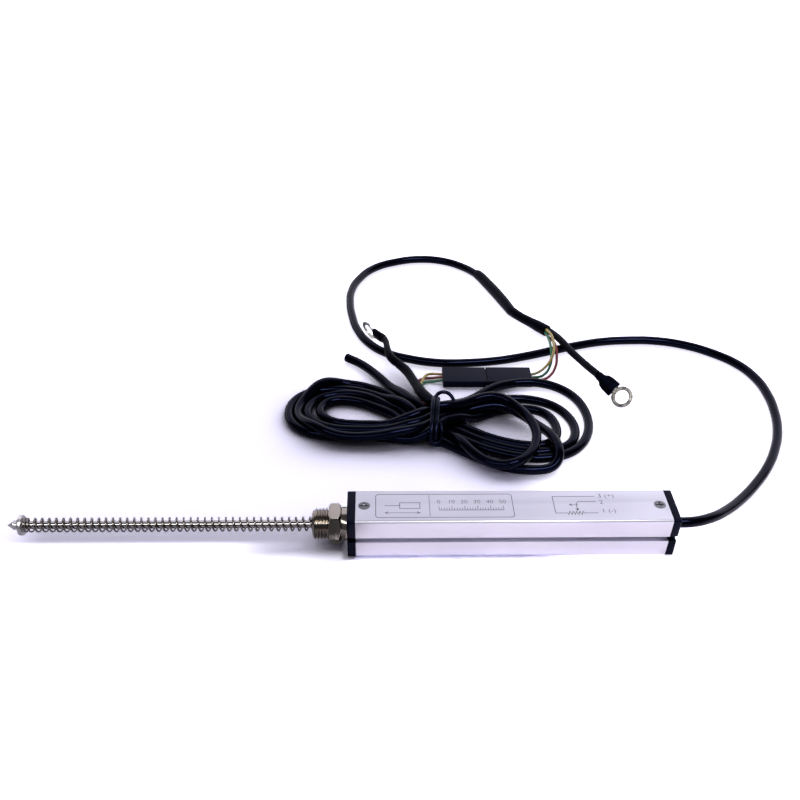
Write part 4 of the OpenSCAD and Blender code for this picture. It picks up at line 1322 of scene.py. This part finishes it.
    def route(self) -> list[Point]:
        """Lets the strands push each other apart until they lie side by side, and rest on the ground.

        Returns:
            The cable's points from its exit, in millimetres.
        """
        target, held = self.spaced(*self.knots())
        line = target.copy()
        free = (~held)[:, None].astype(float)
        free[:2] = free[-2:] = 0
        index = np.arange(len(line))
        apart = math.ceil(self.own_reach * self.cable_d / self.step)
        tiny = 1e-9
        for turn in range(self.rounds):
            if turn % self.look_every == 0:
                gaps = np.linalg.norm(line[:, None] - line[None], axis=2)
                close = gaps < self.cable_d * self.look_within
                near = np.nonzero(close & (index[None] - index[:, None] > apart))
            between = line[near[0]] - line[near[1]]
            gap = np.linalg.norm(between, axis=1, keepdims=True) + tiny
            shove = np.maximum(0, self.cable_d * self.spacing - gap) / gap * between * self.push
            move = np.zeros_like(line)
            np.add.at(move, near[0], shove)
            np.add.at(move, near[1], -shove)
            move *= np.minimum(1, 1 / np.maximum(np.linalg.norm(move, axis=1, keepdims=True), tiny))
            line += move * free
            soft = line.copy()
            soft[2:-2] = (-line[:-4] + 4 * line[1:-3] + 10 * line[2:-2] + 4 * line[3:-1] - line[4:]) / 16
            line += (soft - line) * self.soften * free
            tug = self.pull if turn < self.rounds * self.late_from else self.late_pull
            line += (target - line) * np.array([tug, tug, tug * self.upward_pull]) * free
            line[:, 2] = np.maximum(line[:, 2] - self.sink * free[:, 0], self.cable_d / 2)
        return [tuple(point) for point in line.tolist()]


@dataclass
class ExtensionCable(CordWork):
    """Extension cable: cores from the socket, joint sleeve with ring B, the tied hank and the bare tail."""

    length: float = 1430.0
    joint_d: float = 5.0
    tie_wire: float = 2.0
    tie_bend: float = 1.7
    tie_hook: float = 1.2
    tie_x: float = -89.9
    tie_w: float = 3.8
    wraps: int = 2
    first_wrap: int = 6
    lean: float = 0.06

    def tie(self) -> Piece:
        """Wraps the tie round the hank's waist, with a bow on top, a hook in front and a short end."""
        hug = [
            (60.8, 1.5), (59.6, 4.2), (62.0, 8.6), (67.5, 10.9), (73.0, 12.9), (77.6, 13.0),
            (81.2, 10.6), (82.6, 6.4), (82.0, 2.6), (76.0, 1.2), (66.0, 1.1),
        ]
        count = self.wraps * len(hug)
        route = []
        for k in range(count):
            y, z = hug[(k + self.first_wrap) % len(hug)]
            slant = self.lean * (y - hug[0][0])
            route.append((self.tie_x + self.tie_w * k / (count - 1) + slant, y, z))
        parts = {
            "wrap": (self.tie_wire, route),
            "bow": (self.tie_bend, [
                (-86.4, 76.4, 12.9), (-86.0, 78.6, 13.5), (-84.6, 80.6, 13.9), (-82.3, 81.4, 13.9),
                (-80.1, 80.7, 13.4), (-78.6, 79.2, 12.2), (-77.8, 77.0, 10.8),
            ]),
            "hook": (self.tie_hook, [
                (-84.9, 63.4, 10.2), (-84.3, 61.0, 8.6), (-84.2, 59.4, 6.2), (-85.2, 58.4, 3.8),
                (-87.2, 58.2, 3.2), (-88.9, 58.4, 4.8), (-89.2, 59.0, 6.6),
            ]),
            "end": (self.tie_bend, [
                (-88.6, 60.4, 1.6), (-86.5, 59.9, 1.0), (-84.3, 60.2, 0.9), (-82.0, 60.6, 0.9),
            ]),
        }
        coats = [
            tube(name, shifted(line, self.datum.exit_x), size, along=5, around=4)
            for name, (size, line) in parts.items()
        ]
        return as_mesh(coats, "twist_tie")

    def build(self, socket: Piece, ring: Piece, ring_sleeve: Piece) -> None:
        """Lays the cores, the joint, the hank and the tie.

        Args:
            socket: the socket's body.
            ring: ring B.
            ring_sleeve: the sleeve on ring B.
        """
        joint = self.shrink(
            "joint_shrink",
            [(-101.7, 118.6, 5.1), (-98.3, 113.5, 4.8), (-95.6, 106, 4.9), (-93.4, 98.5, 5.6),
             (-91.6, 92, 6.4), (-89.2, 86.6, 7), (-86.8, 81.9, 7.4)],
            self.joint_d,
            [0.84, 0.92, 0.84, 0.9, 0.98, 1.0, 1.0],
            "joint_sleeve",
        )
        lead = self.shrink(
            "shield_lead_to_ring_b",
            [(-108.6, 141.3, 5.5), (-107.7, 138, 6), (-107.3, 133.5, 6.5), (-106.9, 129, 6.6),
             (-106, 124.8, 6.2), (-104.2, 121.4, 5.7), (-101.8, 118.8, 5.2)],
            self.lead_d,
            [1.0, 0.92, 0.86, 1.0, 1.16, 1.22, 1.2],
            "shield_lead_b",
        )
        cores = {
            "yellow": (39.8, [
                (-79.1, 114.85, 1.7), (-82, 114.9, 1.7), (-85.2, 114.9, 1.9), (-87.7, 113.8, 2.3),
                (-89.4, 111.4, 2.5), (-90.6, 108.2, 2.4), (-91.6, 104.6, 2.2), (-91.6, 100.6, 2.1),
                (-90.5, 95.6, 2.1), (-88.8, 90, 2.1), (-86.9, 84.4, 2.1),
            ]),
            "red": (41.0, [
                (-79.1, 112.3, 1.7), (-82, 112.35, 1.6), (-85.4, 112.6, 1.1), (-88.6, 112.8, 0.75),
                (-91.3, 111.6, 0.7), (-93, 109, 0.7), (-93.4, 105, 0.7), (-92.6, 100.6, 0.7),
                (-91.3, 95.6, 0.7), (-89.5, 90, 0.7), (-87.6, 84.4, 0.7),
            ]),
            "green": (36.5, [
                (-79.1, 109.75, 1.7), (-82, 109.7, 1.6), (-84.8, 109.8, 1), (-87.4, 110, 0.7),
                (-89.6, 109.1, 0.7), (-90.9, 106.8, 0.7), (-91.3, 103.8, 0.7), (-90.9, 100.2, 0.7),
                (-89.6, 95.2, 0.7), (-88.1, 90, 0.7), (-86.2, 84.4, 0.7),
            ]),
        }
        for colour, (length, route) in cores.items():
            self.lay(
                f"socket_core_{colour}", route, self.core_d, length, CORE_FINISHES[colour], f"core_{colour}",
                [f"core_b_{colour}"], FarEnd.OBJECT, [socket], Stiffness.LIMP,
            )
        winding = HankWinding(self.cable_d)
        tie = self.fit(self.tie(), TIE, "tie_plastic", "hank_tie")
        self.lay(
            "extension_cable", winding.route(), self.cable_d, self.length, SHEATH, "cable_jacket",
            ["extension_hank", "cable_tail"], FarEnd.BARE, [joint, lead, ring_sleeve, ring, tie],
            Stiffness.MEDIUM, Lay.COILED, along=3,
        )


# Studio


@dataclass(frozen=True)
class Lamp:
    """Soft box that faces the object's middle and shows in its shine alone; its places are metres."""

    name: str
    place: Point
    size: Pair
    power: float
    aim: Point = (0.03, 0.07, 0.0)

    def hang(self) -> None:
        """Adds the lamp to the scene."""
        data = bpy.data.lights.new(self.name, "AREA")
        data.shape = "RECTANGLE"
        data.size, data.size_y = self.size
        data.energy = self.power
        holder = bpy.data.objects.new(self.name, data)
        bpy.context.scene.collection.objects.link(holder)
        holder.location = Vector(self.place)
        holder.visible_diffuse = False
        holder.rotation_mode = "QUATERNION"
        holder.rotation_quaternion = (Vector(self.aim) - holder.location).to_track_quat("-Z", "Y")


@dataclass
class Studio:
    """Camera, floor, world and lamps; places on the floor are millimetres."""

    eye: Point = (13.57, -248.14, 234.55)
    right: Point = (0.99970, -0.02078, 0.01291)
    up: Point = (0.00378, 0.65267, 0.75764)
    lens: float = 39.9
    shift: float = 0.125
    clip: Pair = (0.01, 20.0)
    paper_size: float = 6.0
    paper: Point = (0.90, 0.90, 0.93)
    exposure: Point = (3.05, 3.02, 3.45)
    glow: float = 0.9
    glow_seen: str = "#f0efff"
    glow_mirrored: str = "#fff2ec"
    mirrored: float = 0.68
    glow_by_rod: Pair = (1.0, -2.2)
    glow_by_nut: Pair = (-4.0, -12.0)
    glow_by_housing: Pair = (-9.8, -10.8)
    rod_to_nut: Pair = (-50.0, -22.0)
    nut_to_housing: Pair = (-1.0, 1.0)
    far_y: Pair = (98.0, 135.0)
    far_x: Pair = (68.0, 100.0)
    # Painted shade: ambient occlusion within crevice_reach darkens the paper's colour, to a power that grows
    # from the right of the hank to its left
    crevice: Pair = (0.3, 1.5)
    crevice_x: Pair = (50.0, 25.0)
    crevice_y: Pair = (20.0, 35.0)
    crevice_reach: float = 30.0
    crevice_samples: int = 4
    # Painted shadow under the rod: a grey band on the paper, this much darker, bounded by the shade ramps
    shade: float = 0.4
    shade_front: Pair = (-6.0, 2.0)
    shade_back: Pair = (14.0, 6.0)
    shade_left: Pair = (-131.0, -114.0)
    shade_right: Pair = (2.0, -3.0)
    sky_colour: str = "#f6f4ff"
    sky_back: float = 1.02
    sky_front: float = 0.075
    sky_edge: Pair = (0.28, 0.44)
    sky_right: float = 0.45
    sky_right_edge: Pair = (0.1, 0.5)
    lamps: tuple[Lamp, ...] = (
        Lamp("strip_left_of_camera", (-0.75, -1.3, 1.75), (1.6, 0.4), 15.0),
        Lamp("soft_box_above_camera", (0.65, -0.9, 1.95), (1.2, 0.6), 36.0),
    )

    def camera(self) -> None:
        """Sets the camera where the photograph was taken from."""
        data = bpy.data.cameras.new("photo_camera")
        data.lens = self.lens
        data.shift_y = self.shift
        data.clip_start, data.clip_end = self.clip
        seen = bpy.data.objects.new("photo_camera", data)
        bpy.context.scene.collection.objects.link(seen)
        right, up = Vector(self.right).normalized(), Vector(self.up).normalized()
        turned = Matrix((right, up, right.cross(up))).transposed().to_4x4()
        seen.matrix_world = Matrix.Translation(Vector(self.eye) * MM) @ turned
        bpy.context.scene.camera = seen

    def floor(self) -> None:
        """Lays wide white paper, which the camera and reflections see over-exposed, as in the photograph.

        What the paper sends back onto the object is that of plain white paper. Reflections in the rod, the
        thread and the nut see plain paper too.
        """
        edit = bmesh.new()
        bmesh.ops.create_grid(edit, x_segments=1, y_segments=1, size=self.paper_size)
        ground = finished("studio_floor", edit)
        material = bpy.data.materials.new("white_paper_sweep")
        material.use_nodes = True
        nodes = material.node_tree.nodes
        nodes.remove(nodes["Principled BSDF"])
        graph = Graph(material.node_tree, MM)
        x, y = graph.across("Object")
        path = graph.add("LightPath").node.outputs
        mirrored = graph.math(
            "MULTIPLY", path["Is Glossy Ray"], graph.ramp(x, self.nut_to_housing, (0.0, self.mirrored))
        )
        seen = graph.math("MAXIMUM", path["Is Camera Ray"], mirrored)
        looked_at = graph.math("MAXIMUM", seen, path["Is Transmission Ray"])
        plain = graph.add("BsdfDiffuse", {"Color": (*self.paper, 1.0)})
        bright = graph.add("BsdfDiffuse", {"Color": self.shaded(graph, x, y)})
        tint = graph.mix(path["Is Camera Ray"], linear(self.glow_mirrored), linear(self.glow_seen))
        glow = graph.add("Emission", {"Color": tint, "Strength": self.glowing(graph, x, y)})
        lit = graph.add("AddShader", {0: bright, 1: glow})
        both = graph.add("MixShader", {0: looked_at, 1: plain, 2: lit})
        graph.feed(nodes["Material Output"], {"Surface": both})
        ground.data.materials.append(material)

    def shaded(self, graph: Graph, x: Socket, y: Socket) -> Socket:
        """Gives the over-exposed paper its shades.

        A soft grey band under the rod is painted shadow of the rod. The paper darkens where the object hems
        it in, most on the left of the hank: painted shade, from ambient occlusion.

        Args:
            graph: the floor's nodes.
            x: the place along the rod.
            y: the place across it.

        Returns:
            The paper's colour.
        """
        # Painted shadow: a soft grey band on the paper under the rod, along the rod from its tip to the
        # housing
        shade = graph.ramp(y, self.shade_front)
        for value, ends in ((y, self.shade_back), (x, self.shade_right), (x, self.shade_left)):
            shade = graph.math("MULTIPLY", shade, graph.ramp(value, ends))
        grey = (*(value * (1 - self.shade) for value in self.exposure), 1.0)
        paper_with_rod_shadow = graph.mix(shade, (*self.exposure, 1.0), grey)
        # Painted shade: ambient occlusion darkens the paper's colour near the object, most on the left of
        # the hank and everywhere left of the housing
        crevice = graph.add(
            "AmbientOcclusion", {"Distance": self.crevice_reach * MM, "samples": self.crevice_samples}, "AO"
        )
        by_hank = graph.math(
            "MULTIPLY", graph.ramp(y, self.crevice_y), graph.ramp(x, self.crevice_x, self.crevice)
        )
        depth = graph.math("MAXIMUM", by_hank, graph.ramp(x, self.nut_to_housing[::-1]))
        occlusion_shade = graph.math("POWER", crevice, depth)
        return graph.add("VectorMath", {"operation": "SCALE", 0: paper_with_rod_shadow, "Scale": occlusion_shade})

    def glowing(self, graph: Graph, x: Socket, y: Socket) -> Socket:
        """Makes the paper's foreground, its far end and its right side glow, which keeps them white.

        In front, the glow starts at the rod's, the nut's and the housing's own edge.

        Args:
            graph: the floor's nodes.
            x: the place along the rod.
            y: the place across it.

        Returns:
            The glow's strength.
        """
        level = graph.ramp(y, self.glow_by_rod)
        for edge, step in ((self.glow_by_nut, self.rod_to_nut), (self.glow_by_housing, self.nut_to_housing)):
            by_edge = {0: graph.ramp(x, step), 2: level, 3: graph.ramp(y, edge)}
            level = graph.add("Mix", {"data_type": "FLOAT", **by_edge})
        for value, ends in ((y, self.far_y), (x, self.far_x)):
            level = graph.math("MAXIMUM", level, graph.ramp(value, ends))
        return graph.math("MULTIPLY", level, self.glow)

    def world(self) -> None:
        """Makes the surroundings: a bright wall behind the object, and a dim room above and in front of it.

        The wall is brighter towards the right.
        """
        world = bpy.data.worlds.new("soft_studio")
        bpy.context.scene.world = world
        world.use_nodes = True
        graph = Graph(world.node_tree)
        x, y = graph.across("Generated")
        level = graph.ramp(y, self.sky_edge, (self.sky_front, self.sky_back))
        right = graph.ramp(x, self.sky_right_edge, (1.0, 1.0 + self.sky_right))
        sky = {"Color": linear(self.sky_colour), "Strength": graph.math("MULTIPLY", level, right)}
        graph.feed(world.node_tree.nodes["Background"], sky)

    def build(self) -> None:
        """Sets the floor, the world and the lamps."""
        self.floor()
        self.world()
        for lamp in self.lamps:
            lamp.hang()


def main() -> None:
    """Builds the looks around the frame and reports each piece."""
    logging.basicConfig(level=logging.INFO, format="%(message)s")
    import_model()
    datum = Datum.from_frame()
    bpy.context.scene.view_settings.view_transform = "Standard"
    studio = Studio()
    studio.camera()
    ring_a, ring_sleeve_a = RingTerminal(
        datum, letter="a", centre=(1.1, 91.5, 4.3), heading=131, rise=18, roll=-48, sleeve_end=15.3,
        metal=WORN_TIN,
    ).build()
    ring_b, ring_sleeve_b = RingTerminal(
        datum, letter="b", centre=(-116, 151.5, 4.85), heading=-54, rise=3, roll=-74, sleeve_end=12.4,
        flare_w=6.4,
    ).build()
    plug, socket = PlugConnection(datum).build()
    SensorCable(datum).build(plug, ring_a, ring_sleeve_a)
    ExtensionCable(datum).build(socket, ring_b, ring_sleeve_b)
    Housing(datum).build()
    Marking(datum).build()
    MountingBush(datum).build()
    MountingNut(datum, body="nut").build()
    PushRod(datum, body="rod").build()
    ReturnSpring(datum).build()
    Element(datum).build()
    studio.build()


if __name__ == "__main__":
    main()
